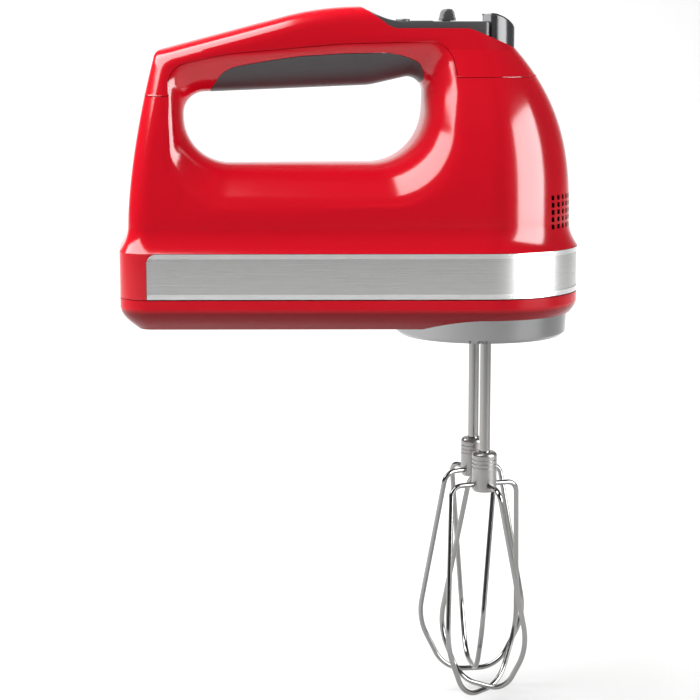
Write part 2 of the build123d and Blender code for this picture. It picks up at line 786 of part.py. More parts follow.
def bottom_pan():
    """Tray under the body, open at the nose for the ring, with cradles for the motor."""
    block = pan_block(0.0)
    tray = block - pan_block(PAN_WALL)
    half = STATOR_WIDTH / 2 - STATOR_CORNER
    top = SHAFT_HEIGHT - STATOR_HEIGHT / 2 - PRESS_GAP
    for x in (-STATOR_BACK + CRADLE_WIDTH, -STATOR_BACK + STATOR_LENGTH - CRADLE_WIDTH):
        tray = tray + bar(x - CRADLE_WIDTH / 2, x + CRADLE_WIDTH / 2, -half, half, PAN_WALL / 2, top)
    plate = (-BRACKET_BACK, -BRACKET_BACK + BRACKET_PLATE)
    tray = tray + bar(*plate, -BRACKET_HALF / 2, BRACKET_HALF / 2, PAN_WALL / 2, BRACKET_FOOT - PRESS_GAP)
    for x, y in pan_screw_points():
        tray = tray + (block & post(x, y, PAN_WALL / 2, PAN_SINK + PAN_WALL, PAN_BOSS_RADIUS + PAN_WALL))
    for x, y in pan_screw_points():
        tray = tray - post(x, y, -PAN_WALL, PAN_SINK, PAN_HEAD_RADIUS + FIT_GAP)
        tray = tray - post(x, y, 0, PAN_SINK + 2 * PAN_WALL, PAN_SCREW_RADIUS + FIT_GAP)
    tray = tray - post(-INLET_BACK, 0, -PAN_WALL, INLET_LENGTH, INLET_BORE + INLET_WALL + PRESS_GAP)
    mouth = RING_RADIUS + FIT_GAP
    opening = polygon(
        (0, -RING_LIP),
        (mouth + 2 * RING_LIP, -RING_LIP),
        (mouth, RING_LIP),
        (mouth, SPLIT_HEIGHT + PAN_WALL),
        (0, SPLIT_HEIGHT + PAN_WALL),
    )
    return tray - revolve(Plane.XZ * opening, Axis.Z)


def pan_screws():
    """Screws through the pan into the housing's bosses."""
    screws = []
    for x, y in pan_screw_points():
        head = post(x, y, PAN_SINK - PAN_HEAD_HEIGHT, PAN_SINK - PRESS_GAP, PAN_HEAD_RADIUS)
        tip = PAN_SINK + PAN_SCREW_LENGTH - SEAT_GAP
        shank = post(x, y, PAN_SINK - PAN_HEAD_HEIGHT / 2, tip, PAN_SCREW_RADIUS - PRESS_GAP)
        slot = bar(x - RIB_HALF, x + RIB_HALF, y - PAN_HEAD_RADIUS, y + PAN_HEAD_RADIUS, 0, SCREW_SLOT)
        screws.append(head + shank - Pos(0, 0, PAN_SINK - PAN_HEAD_HEIGHT) * slot)
    return screws


def trim_band():
    """Metal band round the skirt, with two raised lips along its edges."""
    start = BAND_BASE + FIT_GAP
    rise = SKIRT_TOP - FIT_GAP - start
    inner = body_section(start, BAND_THICKNESS)
    lips = body_section(start) - inner
    middle = body_section(start, BAND_SINK) - inner
    band = extrude(lips, BAND_LIP) + Pos(0, 0, rise - BAND_LIP) * extrude(lips, BAND_LIP)
    band = band + Pos(0, 0, BAND_LIP) * extrude(middle, rise - 2 * BAND_LIP)
    top = start + rise
    outline = FilletPolyline(
        (-BAND_BACK, 0),
        (-BAND_BACK, top),
        (SKIN_HALF, top),
        (SKIN_HALF, 0),
        radius=[BAND_CORNER, BAND_SINK],
    )
    side = make_face([*outline.edges(), Line(outline @ 1, outline @ 0)])
    return band & slab(side, SKIN_HALF)


def nose_ring():
    """Bright ring under the nose, closed below by a plate with the two beater ports."""
    inner = RING_RADIUS - RING_WALL
    foot = RING_RADIUS - RING_TAPER
    profile = polygon(
        (0, -RING_DROP),
        (foot - RING_CHAMFER, -RING_DROP),
        (foot, -RING_DROP + RING_CHAMFER),
        (RING_RADIUS, RING_TOP),
        (inner, RING_TOP),
        (inner - RING_TAPER, -RING_DROP + RING_FLOOR),
        (0, -RING_DROP + RING_FLOOR),
    )
    ring = revolve(Plane.XZ * profile, Axis.Z)
    return ring - [post(0, y, -RING_DROP - PORT_LENGTH, 0, PORT_RADIUS) for y in BEATER_SIDES.values()]


def port_bushes():
    """Plastic bushes that line the two beater ports."""
    bushes = []
    base = -RING_DROP - FIT_GAP
    for y in BEATER_SIDES.values():
        barrel = post(0, y, base, base + PORT_LENGTH, PORT_RADIUS - PRESS_GAP)
        seat = -RING_DROP + RING_FLOOR + PRESS_GAP
        flange = post(0, y, seat, base + PORT_LENGTH, PORT_RADIUS + PORT_WALL)
        bushes.append(barrel + flange - post(0, y, base, base + PORT_LENGTH, PORT_RADIUS - PORT_WALL))
    return bushes


def panel_block(grow, drop):
    """Tongue-shaped block standing on the deck, or on a seat sunk below it."""
    length = PANEL_BACK - PANEL_FRONT + 2 * grow
    plan = RectangleRounded(length, 2 * (PANEL_HALF + grow), PANEL_CORNER + grow)
    middle = -(PANEL_BACK + PANEL_FRONT) / 2
    return extrude(Pos(middle, 0, BOARD_TOP) * plan, LOFT_TOP - BOARD_TOP) & deck_cut(drop)


def switch_slot(gap):
    """Slot in which the power switch's stem slides, from the deck's ceiling to its top."""
    length = SWITCH_STEM_LENGTH + SWITCH_TRAVEL + 2 * gap
    middle = -SWITCH_BACK + SWITCH_TRAVEL / 2
    half = SWITCH_STEM_WIDTH / 2 + gap
    return bar(middle - length / 2, middle + length / 2, -half, half, CEILING - SWITCH_STEM_DEPTH, LOFT_TOP)


def button_points():
    """Places of the two speed buttons."""
    return {"up": (-BUTTON_BACK, -BUTTON_SPREAD), "down": (-BUTTON_BACK, BUTTON_SPREAD)}


def control_panel():
    """Panel on the deck, with the display's seat, the button holes and the switch slot."""
    above = polygon(
        (-PEAK_BACK, PANEL_TOP + (PEAK_BACK - PANEL_KNEE_BACK) * tan(radians(PANEL_CLIMB))),
        (-PANEL_KNEE_BACK, PANEL_TOP),
        (NOSE_RADIUS, PANEL_TOP),
        (NOSE_RADIUS, 2 * LOFT_TOP),
        (-PEAK_BACK, 2 * LOFT_TOP),
    )
    panel = panel_block(0.0, PANEL_SEAT) - slab(above, SKIN_HALF)
    seat = Box(DISPLAY_LENGTH + 2 * FIT_GAP, DISPLAY_WIDTH + 2 * FIT_GAP, 2 * DISPLAY_SEAT)
    panel = panel - Pos(-DISPLAY_BACK + DISPLAY_LENGTH / 2, 0, PANEL_TOP) * seat
    for x, y in button_points().values():
        panel = panel - post(x, y, BOARD_TOP, LOFT_TOP, BUTTON_RADIUS + SLIDE_GAP)
    return panel - switch_slot(SLIDE_GAP)


def display_window():
    """Clear window over the speed display."""
    height = DISPLAY_SEAT + DISPLAY_PROUD - PRESS_GAP
    window = Box(DISPLAY_LENGTH, DISPLAY_WIDTH, height)
    return Pos(-DISPLAY_BACK + DISPLAY_LENGTH / 2, 0, PANEL_TOP + DISPLAY_PROUD - height / 2) * window


def speed_button(x, y):
    """Round speed button with the stem that presses the board's switch."""
    reach = BUTTON_TRAVEL + SEAT_GAP
    cap = post(x, y, PANEL_FLOOR + reach, PANEL_TOP + BUTTON_PROUD, BUTTON_RADIUS)
    cap = fillet(cap.edges().sort_by(Axis.Z)[-1], BUTTON_EDGE)
    return cap + post(x, y, BOARD_TOP + reach, PANEL_FLOOR + reach + BUTTON_EDGE, BUTTON_STEM)


def power_switch_knob():
    """Sliding power switch: a foot on the panel, a ridged tab and a stem through the slot."""
    floor = PANEL_TOP + SLIDE_GAP
    foot = Pos(-SWITCH_BACK, 0, floor + SWITCH_FOOT / 2)
    foot = foot * Box(SWITCH_FOOT_LENGTH, SWITCH_WIDTH, SWITCH_FOOT)
    foot = fillet(foot.edges().filter_by(Axis.Z), SWITCH_EDGE)
    top = PANEL_TOP + SWITCH_PROUD
    back = -SWITCH_BACK - SWITCH_LENGTH / 2
    front = -SWITCH_BACK + SWITCH_LENGTH / 2
    outline = FilletPolyline(
        (back, floor),
        (back + SWITCH_RAKE, top),
        (front - SWITCH_RAKE, top),
        (front, floor),
        radius=[SWITCH_EDGE, SWITCH_EDGE],
    )
    tab = slab(make_face([*outline.edges(), Line(outline @ 1, outline @ 0)]), SWITCH_WIDTH / 2)
    half_length = SWITCH_STEM_LENGTH / 2
    half_width = SWITCH_STEM_WIDTH / 2
    ends = (CEILING - SWITCH_STEM_DEPTH + SEAT_GAP, floor + SWITCH_FOOT)
    stem = bar(-SWITCH_BACK - half_length, -SWITCH_BACK + half_length, -half_width, half_width, *ends)
    return foot + tab + stem


def ejector_plan(grow):
    """Plan of the ejector: straight behind, round in front."""
    centre = EJECTOR_FRONT - EJECTOR_RADIUS
    back = -EJECTOR_BACK - grow
    disc = Pos(centre, 0) * Circle(EJECTOR_RADIUS + grow)
    length = EJECTOR_FRONT + grow - back
    front = Pos(back + length / 2, 0) * Rectangle(length, 2 * (EJECTOR_RADIUS + grow))
    return disc & front


def ejector_button():
    """Beater ejector: a round-fronted plunger with a sloping top and a socket for the rod."""
    base = EJECTOR_TOP - EJECTOR_SKIRT
    plunger = extrude(Pos(0, 0, base) * ejector_plan(0.0), EJECTOR_SKIRT)
    above = polygon(
        (-EJECTOR_BACK, EJECTOR_TOP),
        (EJECTOR_FRONT, EJECTOR_TOP - EJECTOR_FALL),
        (EJECTOR_FRONT, LOFT_TOP),
        (-EJECTOR_BACK, LOFT_TOP),
    )
    plunger = plunger - slab(above, SKIN_HALF)
    plunger = fillet(plunger.faces().sort_by(Axis.Z)[-1].edges(), EJECTOR_EDGE)
    return plunger - post(EJECTOR_ROD_X, 0, base, base + ROD_SOCKET, EJECTOR_ROD_RADIUS + PRESS_GAP)


def ejector_yoke():
    """Rod, cross bar and two prongs that push the beaters out of the spindles."""
    reach = AXIS_HALF + PRONG_RADIUS + WALL
    yoke = bar(-YOKE_HALF, YOKE_HALF, -reach, reach, YOKE_HEIGHT, ROD_BASE)
    yoke = yoke + bar(-YOKE_PAD, YOKE_PAD, -YOKE_PAD, YOKE_PAD, YOKE_HEIGHT, ROD_BASE)
    top = EJECTOR_TOP - EJECTOR_SKIRT + ROD_SOCKET - PRESS_GAP
    yoke = yoke + post(EJECTOR_ROD_X, 0, YOKE_HEIGHT, top, EJECTOR_ROD_RADIUS)
    for y in BEATER_SIDES.values():
        yoke = yoke + post(0, y, SHANK_TOP + PRONG_GAP, ROD_BASE, PRONG_RADIUS)
    return yoke


def ejector_spring():
    """Return spring between the gearbox cover and the yoke, as a plain sleeve."""
    base = LID_HEIGHT + LID_THICKNESS + PRESS_GAP
    return tube(SPRING_RADIUS, SPRING_RADIUS - SPRING_WIRE, base, YOKE_HEIGHT - PRESS_GAP)


def top_cover(shell):
    """Top cover with the panel's seat, the board's hangers and the openings for the controls."""
    cover = shell - panel_block(FIT_GAP, PANEL_SEAT + PRESS_GAP)
    for x in (-BOARD_BACK + HANGER_WIDTH, -BOARD_BACK + BOARD_LENGTH - HANGER_WIDTH):
        ends = (x - HANGER_WIDTH / 2, x + HANGER_WIDTH / 2)
        cover = cover + bar(*ends, -BOARD_HALF, BOARD_HALF, BOARD_TOP + PRESS_GAP, PANEL_FLOOR - FIT_GAP)
    for x, y in button_points().values():
        cover = cover - post(x, y, BOARD_TOP, LOFT_TOP, BUTTON_STEM + SLIDE_GAP)
    floor = SEAM_NOSE_HEIGHT - EJECTOR_TRAVEL
    well = extrude(Pos(0, 0, floor) * ejector_plan(SLIDE_GAP), LOFT_TOP - floor)
    return cover - switch_slot(SLIDE_GAP) - well


def tooth_ring(teeth, root, tip, half_angle, phase):
    """Section with straight-sided teeth; half_angle is a tooth's half width at a radius."""
    points = []
    steps = [root + (tip - root) * step / TOOTH_STEPS for step in range(TOOTH_STEPS + 1)]
    for tooth in range(teeth):
        middle = phase + 2 * pi * tooth / teeth
        rising = [(radius, middle - half_angle(radius)) for radius in steps]
        falling = [(radius, middle + half_angle(radius)) for radius in reversed(steps)]
        points += [(radius * cos(angle), radius * sin(angle)) for radius, angle in rising + falling]
    return polygon(*points)


def tooth_width(height):
    """Width of a tooth or thread at a height above its pitch line."""
    return PITCH / 2 - TOOTH_BACKLASH / 2 - 2 * height * tan(radians(PRESSURE_ANGLE))


def worm_shaft():
    """Motor shaft with the two-start worm cut on its front end."""

    def half_angle(radius):
        return pi * tooth_width(radius - WORM_RADIUS) / WORM_LEAD

    root = WORM_RADIUS - MODULE - ROOT_GAP
    turn = 360 * WORM_LENGTH / WORM_LEAD
    section = tooth_ring(WORM_STARTS, root, WORM_RADIUS + MODULE, half_angle, radians(-turn / 2))
    thread = Solid.extrude_linear_with_rotation(section.face(), (0, 0, 0), (0, 0, WORM_LENGTH), turn)
    thread = Plane(origin=(-WORM_LENGTH / 2, 0, SHAFT_HEIGHT), x_dir=(0, 1, 0), z_dir=(1, 0, 0)) * thread
    front = axle(WORM_LENGTH / 2, SHAFT_FRONT, SHAFT_RADIUS)
    return thread + axle(-SHAFT_BACK, -WORM_LENGTH / 2, SHAFT_RADIUS) + front


def drive_gear(side):
    """Helical worm wheel on a spindle, with its bore."""

    def half_angle(radius):
        return tooth_width(radius - WHEEL_RADIUS) / (2 * WHEEL_RADIUS)

    root = WHEEL_RADIUS - MODULE - ROOT_GAP
    twist = degrees(WHEEL_WIDTH * WORM_LEAD / (2 * pi * WORM_RADIUS) / WHEEL_RADIUS)
    phase = pi / WHEEL_TEETH - radians(twist) / 2
    section = tooth_ring(WHEEL_TEETH, root, WHEEL_RADIUS + MODULE, half_angle, phase)
    wheel = Solid.extrude_linear_with_rotation(section.face(), (0, 0, 0), (0, 0, WHEEL_WIDTH), twist)
    base = SHAFT_HEIGHT - WHEEL_WIDTH / 2
    wheel = Pos(0, BEATER_SIDES[side], base) * Rot(0, 0, 90) * wheel
    return wheel - post(0, BEATER_SIDES[side], base, base + WHEEL_WIDTH, SPINDLE_RADIUS + PRESS_GAP)


def spindle(side):
    """Hollow spindle that takes a beater's shank, slotted below for the shank's fins."""
    y = BEATER_SIDES[side]
    sleeve = tube(SPINDLE_RADIUS, BORE_RADIUS, SPINDLE_BASE, SPINDLE_TOP, 0, y)
    half = FIN_THICKNESS / 2 + FIT_GAP
    reach = FIN_RADIUS + FIT_GAP
    return sleeve - bar(-reach, reach, y - half, y + half, SPINDLE_BASE, FIN_BASE + FIN_HEIGHT + SEAT_GAP)


def spindle_bushes():
    """Plain bearings of the two spindles, below in the base and above in the cover."""
    top = LID_HEIGHT + LID_THICKNESS + BUSH_PROUD
    spans = [(SPINDLE_BASE, SPINDLE_BASE + BUSH_LENGTH), (LID_HEIGHT - BUSH_PROUD, top)]
    bore = SPINDLE_RADIUS + RUN_GAP
    return [tube(BUSH_RADIUS, bore, *span, 0, y) for y in BEATER_SIDES.values() for span in spans]


def leg_points():
    """Places of the gearbox cover's four legs."""
    return [(x, y) for x in (LEG_X, -LEG_X) for y in (LEG_Y, -LEG_Y)]


def gearbox_base():
    """Base plate on the nose ring, with the lower bush bosses and two shaft pedestals."""
    floor = RING_TOP + PRESS_GAP
    plate_top = RING_TOP + GEARBOX_FLOOR
    base = post(0, 0, floor, plate_top, RING_RADIUS - GEARBOX_INSET)
    for y in BEATER_SIDES.values():
        base = base + post(0, y, SPINDLE_BASE, SPINDLE_BASE + BUSH_LENGTH, BUSH_RADIUS + BOSS_WALL)
    top = SHAFT_HEIGHT + PEDESTAL_HALF
    for x in (PEDESTAL_FRONT_X, -PEDESTAL_REAR_X - BEARING_LENGTH):
        pedestal = bar(x, x + BEARING_LENGTH, -PEDESTAL_HALF, PEDESTAL_HALF, floor, top)
        base = base + (pedestal - axle(x, x + BEARING_LENGTH, BEARING_RADIUS + PRESS_GAP))
    for y in BEATER_SIDES.values():
        base = base - post(0, y, 0, SHAFT_HEIGHT, BUSH_RADIUS + PRESS_GAP)
    return base - [post(x, y, 0, SHAFT_HEIGHT, GEARBOX_SCREW + FIT_GAP) for x, y in leg_points()]


def gearbox_cover():
    """Plate over the wheels, on four legs, with the upper bushes' bores."""
    lid = post(0, 0, LID_HEIGHT, LID_HEIGHT + LID_THICKNESS, BAY_RADIUS - LID_GAP)
    halves = (-LID_HALF_LENGTH, LID_HALF_LENGTH, -LID_HALF_WIDTH, LID_HALF_WIDTH)
    lid = lid & bar(*halves, LID_HEIGHT, LID_HEIGHT + LID_THICKNESS)
    foot = RING_TOP + GEARBOX_FLOOR + PRESS_GAP
    for x, y in leg_points():
        lid = lid + post(x, y, foot, LID_HEIGHT + LID_THICKNESS, LEG_RADIUS)
    lid = lid - [post(x, y, 0, foot + GEARBOX_SCREW_LENGTH, GEARBOX_SCREW) for x, y in leg_points()]
    bore = BUSH_RADIUS + PRESS_GAP
    return lid - [post(0, y, SHAFT_HEIGHT, LOFT_TOP, bore) for y in BEATER_SIDES.values()]


def gearbox_screws():
    """Screws up through the base plate into the cover's legs."""
    screws = []
    for x, y in leg_points():
        head = post(x, y, RING_TOP - GEARBOX_HEAD, RING_TOP, GEARBOX_SCREW + GEARBOX_HEAD)
        tip = RING_TOP + GEARBOX_FLOOR + GEARBOX_SCREW_LENGTH - SEAT_GAP
        screws.append(head + post(x, y, RING_TOP - GEARBOX_HEAD / 2, tip, GEARBOX_SCREW - PRESS_GAP))
    return screws


def motor_bearings():
    """Three shaft bearings: two in the gearbox pedestals, one in the rear bracket."""
    starts = (PEDESTAL_FRONT_X, -PEDESTAL_REAR_X - BEARING_LENGTH, -BRACKET_BACK - BEARING_PROUD)
    bore = SHAFT_RADIUS + RUN_GAP
    return [axle(x, x + BEARING_LENGTH, BEARING_RADIUS) - axle(x, x + BEARING_LENGTH, bore) for x in starts]


def rear_bracket():
    """Upright plate that holds the rear bearing."""
    ends = (-BRACKET_BACK, -BRACKET_BACK + BRACKET_PLATE)
    plate = bar(*ends, -BRACKET_HALF, BRACKET_HALF, BRACKET_FOOT, SHAFT_HEIGHT + BRACKET_RISE)
    plate = plate + axle(ends[0], ends[0] - BEARING_PROUD + BEARING_LENGTH, BEARING_RADIUS + BOSS_WALL)
    return plate - axle(ends[0], ends[1] + BEARING_LENGTH, BEARING_RADIUS + PRESS_GAP)


def brush_holders():
    """Two square tubes beside the commutator, each on an arm from the rear bracket."""
    holders = []
    middle = -COMMUTATOR_BACK + COMMUTATOR_LENGTH / 2
    half = BRUSH_WIDTH / 2
    outer = half + HOLDER_WALL
    start = COMMUTATOR_RADIUS + HOLDER_WALL
    stop = start + BRUSH_LENGTH
    plate = -BRACKET_BACK + BRACKET_PLATE + PRESS_GAP
    for side in (1, -1):
        ends = sorted((side * start, side * stop))
        box = bar(middle - outer, middle + outer, *ends, SHAFT_HEIGHT - outer, SHAFT_HEIGHT + outer)
        arm = bar(plate, middle, *ends, SHAFT_HEIGHT - half, SHAFT_HEIGHT + half)
        gap = half + FIT_GAP
        well = bar(middle - gap, middle + gap, *ends, SHAFT_HEIGHT - gap, SHAFT_HEIGHT + gap)
        holders.append(box + arm - well)
    return holders


def carbon_brushes():
    """Two carbon brushes that bear on the commutator."""
    brushes = []
    middle = -COMMUTATOR_BACK + COMMUTATOR_LENGTH / 2
    half = BRUSH_WIDTH / 2
    face = axle(-COMMUTATOR_BACK, -COMMUTATOR_BACK + COMMUTATOR_LENGTH, COMMUTATOR_RADIUS + RUN_GAP)
    for side in (1, -1):
        ends = sorted((side * (COMMUTATOR_RADIUS - HOLDER_WALL), side * (COMMUTATOR_RADIUS + BRUSH_LENGTH)))
        block = bar(middle - half, middle + half, *ends, SHAFT_HEIGHT - half, SHAFT_HEIGHT + half)
        brushes.append(block - face)
    return brushes


def stator_core():
    """Laminated frame with two poles round the armature."""
    frame = RectangleRounded(STATOR_WIDTH, STATOR_HEIGHT, STATOR_CORNER)
    inner_corner = STATOR_CORNER - STATOR_YOKE
    window = RectangleRounded(STATOR_WIDTH - 2 * STATOR_YOKE, STATOR_HEIGHT - 2 * STATOR_YOKE, inner_corner)
    poles = Rectangle(STATOR_WIDTH - STATOR_YOKE, POLE_WIDTH)
    section = frame - window + poles - Circle(ARMATURE_RADIUS + AIR_GAP)
    return extrude(Plane.YZ.offset(-STATOR_BACK) * Pos(0, SHAFT_HEIGHT) * section, STATOR_LENGTH)


def field_coils():
    """Two coils, one round each pole."""
    coils = []
    outer_y = STATOR_WIDTH / 2 - STATOR_YOKE - COIL_GAP
    inner_y = outer_y - COIL_WIDTH
    middle = -STATOR_BACK + STATOR_LENGTH / 2
    half_x = STATOR_LENGTH / 2 + COIL_END
    half_z = POLE_WIDTH / 2 + COIL_GAP
    for side in (1, -1):
        ends = sorted((side * inner_y, side * outer_y))
        wide_x = half_x + COIL_HEIGHT
        wide_z = half_z + COIL_HEIGHT
        block = bar(middle - wide_x, middle + wide_x, *ends, SHAFT_HEIGHT - wide_z, SHAFT_HEIGHT + wide_z)
        block = fillet(block.edges().filter_by(Axis.X), COIL_BEND)
        eye = bar(middle - half_x, middle + half_x, *ends, SHAFT_HEIGHT - half_z, SHAFT_HEIGHT + half_z)
        coils.append(block - eye)
    return coils


def slot_bars(gap):
    """Twelve radial bars that cut, or fill, the armature's slots."""
    start = ARMATURE_RADIUS - SLOT_DEPTH
    height = SLOT_DEPTH + gap
    bars = []
    for index in range(ARMATURE_SLOTS):
        place = Rot(0, 0, 360 * index / ARMATURE_SLOTS) * Pos(start + height / 2 - gap / 2, 0)
        bars.append(place * Rectangle(height, SLOT_WIDTH + gap))
    return bars


def armature_core():
    """Slotted stack on the shaft."""
    section = Circle(ARMATURE_RADIUS) - Circle(SHAFT_RADIUS + PRESS_GAP) - slot_bars(2 * PRESS_GAP)
    return extrude(Plane.YZ.offset(-STATOR_BACK) * Pos(0, SHAFT_HEIGHT) * section, STATOR_LENGTH)


def armature_windings():
    """Windings that fill the slots and bulge at both ends of the stack."""
    section = Sketch() + slot_bars(-WINDING_SINK)
    start = Plane.YZ.offset(-STATOR_BACK - COIL_END / 2) * Pos(0, SHAFT_HEIGHT)
    bars = extrude(start * section, STATOR_LENGTH + COIL_END)
    bore = SHAFT_RADIUS + PRESS_GAP
    for x in (-STATOR_BACK - WINDING_LENGTH, -STATOR_BACK + STATOR_LENGTH + PRESS_GAP):
        stop = x + WINDING_LENGTH - PRESS_GAP
        bars = bars + (axle(x, stop, WINDING_RADIUS) - axle(x, stop, bore))
    return bars


def commutator():
    """Ring of copper bars behind the armature."""
    start = -COMMUTATOR_BACK
    stop = start + COMMUTATOR_LENGTH
    ring = axle(start, stop, COMMUTATOR_RADIUS) - axle(start, stop, SHAFT_RADIUS + PRESS_GAP)
    depths = (COMMUTATOR_RADIUS - HOLDER_WALL, COMMUTATOR_RADIUS + WALL)
    for index in range(COMMUTATOR_BARS):
        turn = Pos(0, 0, SHAFT_HEIGHT) * Rot(360 * index / COMMUTATOR_BARS, 0, 0)
        ring = ring - turn * bar(start, stop, -FIT_GAP, FIT_GAP, *depths)
    return ring


def cooling_fan():
    """Fan on the shaft: a back plate, a hub and radial blades."""
    start = -FAN_BACK
    stop = start + FAN_LENGTH
    fan = axle(start, start + FAN_PLATE, FAN_RADIUS) + axle(start, stop, FAN_HUB)
    blade = bar(start, stop, -FAN_PLATE / 2, FAN_PLATE / 2, FAN_HUB - FAN_PLATE, FAN_RADIUS - FAN_PLATE)
    for index in range(FAN_BLADES):
        fan = fan + Pos(0, 0, SHAFT_HEIGHT) * Rot(360 * index / FAN_BLADES, 0, 0) * blade
    return fan - axle(start, stop, SHAFT_RADIUS + PRESS_GAP)


def circuit_board():
    """Speed control board, hung under the deck."""
    ends = (-BOARD_BACK, -BOARD_BACK + BOARD_LENGTH)
    return bar(*ends, -BOARD_HALF, BOARD_HALF, BOARD_TOP - BOARD_THICKNESS, BOARD_TOP)


def switch_body():
    """Power switch under the deck, open above for the knob's stem."""
    front = -DECK_FRONT - SEAT_GAP
    half = SWITCH_BODY_WIDTH / 2
    heights = (CEILING - SWITCH_BODY_HEIGHT, CEILING - PRESS_GAP)
    body = bar(front - SWITCH_BODY_LENGTH, front, -half, half, *heights)
    return body - switch_slot(SLIDE_GAP)


def terminal_block():
    """Block at the heel where the supply wires end."""
    start = -BODY_BACK + WAIST_STEP + WALL + SEAT_GAP
    half = TERMINAL_WIDTH / 2
    block = bar(start, start + TERMINAL_LENGTH, -half, half, TERMINAL_BASE, TERMINAL_BASE + TERMINAL_HEIGHT)
    wells = [-TERMINAL_PITCH, 0.0, TERMINAL_PITCH]
    top = TERMINAL_BASE + TERMINAL_HEIGHT
    middle = start + TERMINAL_LENGTH / 2
    return block - [post(middle, y, top - TERMINAL_WELL, top, TERMINAL_BORE) for y in wells]


def cord_inlet():
    """Bush in the pan's floor through which the supply enters."""
    outer = INLET_BORE + INLET_WALL
    bush = post(-INLET_BACK, 0, 0, INLET_LENGTH, outer)
    bush = bush + post(-INLET_BACK, 0, PAN_WALL + PRESS_GAP, PAN_WALL + INLET_FLANGE, outer + INLET_WALL)
    return bush - post(-INLET_BACK, 0, 0, INLET_LENGTH, INLET_BORE)


def beater_shank(side):
    """Steel rod with two fins that key it to its spindle."""
    y = BEATER_SIDES[side]
    rod = post(0, y, -COLLAR_DROP - COLLAR_LENGTH + SEAT_GAP, SHANK_TOP, SHANK_RADIUS)
    rod = chamfer(rod.edges().sort_by(Axis.Z)[-1], FIT_GAP)
    half = FIN_THICKNESS / 2
    return rod + bar(-FIN_RADIUS, FIN_RADIUS, y - half, y + half, FIN_BASE, FIN_BASE + FIN_HEIGHT)


def loop_angles(side):
    """Angles of a beater's loops above and below, mirrored and shifted on the left side."""
    if side == "right":
        return NEAR_LOOP_ANGLE, NEAR_LOOP_ANGLE + LOOP_TWIST
    return BEATER_PHASE - NEAR_LOOP_ANGLE, BEATER_PHASE - NEAR_LOOP_ANGLE - LOOP_TWIST


def beater_collar(side):
    """Collar that joins the loops to the shank, with grooves round its top."""
    y = BEATER_SIDES[side]
    base = -COLLAR_DROP - COLLAR_LENGTH
    collar = post(0, y, base, -COLLAR_DROP, COLLAR_RADIUS)
    ends = collar.edges().filter_by(GeomType.CIRCLE)
    collar = fillet(ends, COLLAR_EDGE)
    for index in range(GROOVE_COUNT):
        middle = -COLLAR_DROP - GROOVE_FIRST - index * GROOVE_PITCH
        groove = (middle - GROOVE_WIDTH / 2, middle + GROOVE_WIDTH / 2)
        collar = collar - tube(COLLAR_RADIUS + GROOVE_WIDTH, COLLAR_RADIUS - GROOVE_DEPTH, *groove, 0, y)
    collar = collar - post(0, y, base + SEAT_GAP - PRESS_GAP, -COLLAR_DROP, SHANK_RADIUS + PRESS_GAP)
    reach = COLLAR_RADIUS + WALL
    start = COLLAR_RADIUS - WIRE_SEAT - PRESS_GAP
    upper = loop_angles(side)[0]
    hole = Pos((start + reach) / 2, 0, 0) * Rot(0, 90, 0) * Cylinder(WIRE_RADIUS + PRESS_GAP, reach - start)
    for turn in (0, 90, 180, 270):
        collar = collar - Pos(0, y, base + WIRE_RISE) * Rot(0, 0, upper + turn) * hole
    return collar


def beater_loops(side):
    """Two twisted wire loops at right angles, the second passing above the first."""
    y = BEATER_SIDES[side]
    top = -COLLAR_DROP - COLLAR_LENGTH + WIRE_RISE
    upper, lower = loop_angles(side)
    loops = []
    for quarter, lift in ((0, 0.0), (90, LOOP_STEP)):

        def point(radius, angle, height):
            turn = radians(angle + quarter)
            return (radius * cos(turn), y + radius * sin(turn), height)

        half = [
            (COLLAR_RADIUS - WIRE_SEAT, upper, top),
            (LOOP_SHOULDER, upper, top),
            (LOOP_RADIUS, lower, top - LOOP_WIDEST),
            (LOOP_FOOT, lower, top - LOOP_DEPTH + lift),
        ]
        rest = [(radius, angle + 180, height) for radius, angle, height in reversed(half)]
        bends = [LOOP_SHOULDER_BEND, LOOP_WIDEST_BEND, LOOP_FOOT_BEND]
        path = FilletPolyline(*[point(*stop) for stop in half + rest], radius=bends + bends[::-1])
        loops.append(sweep(Plane(origin=path @ 0, z_dir=path % 0) * Circle(WIRE_RADIUS), path=path))
    return loops


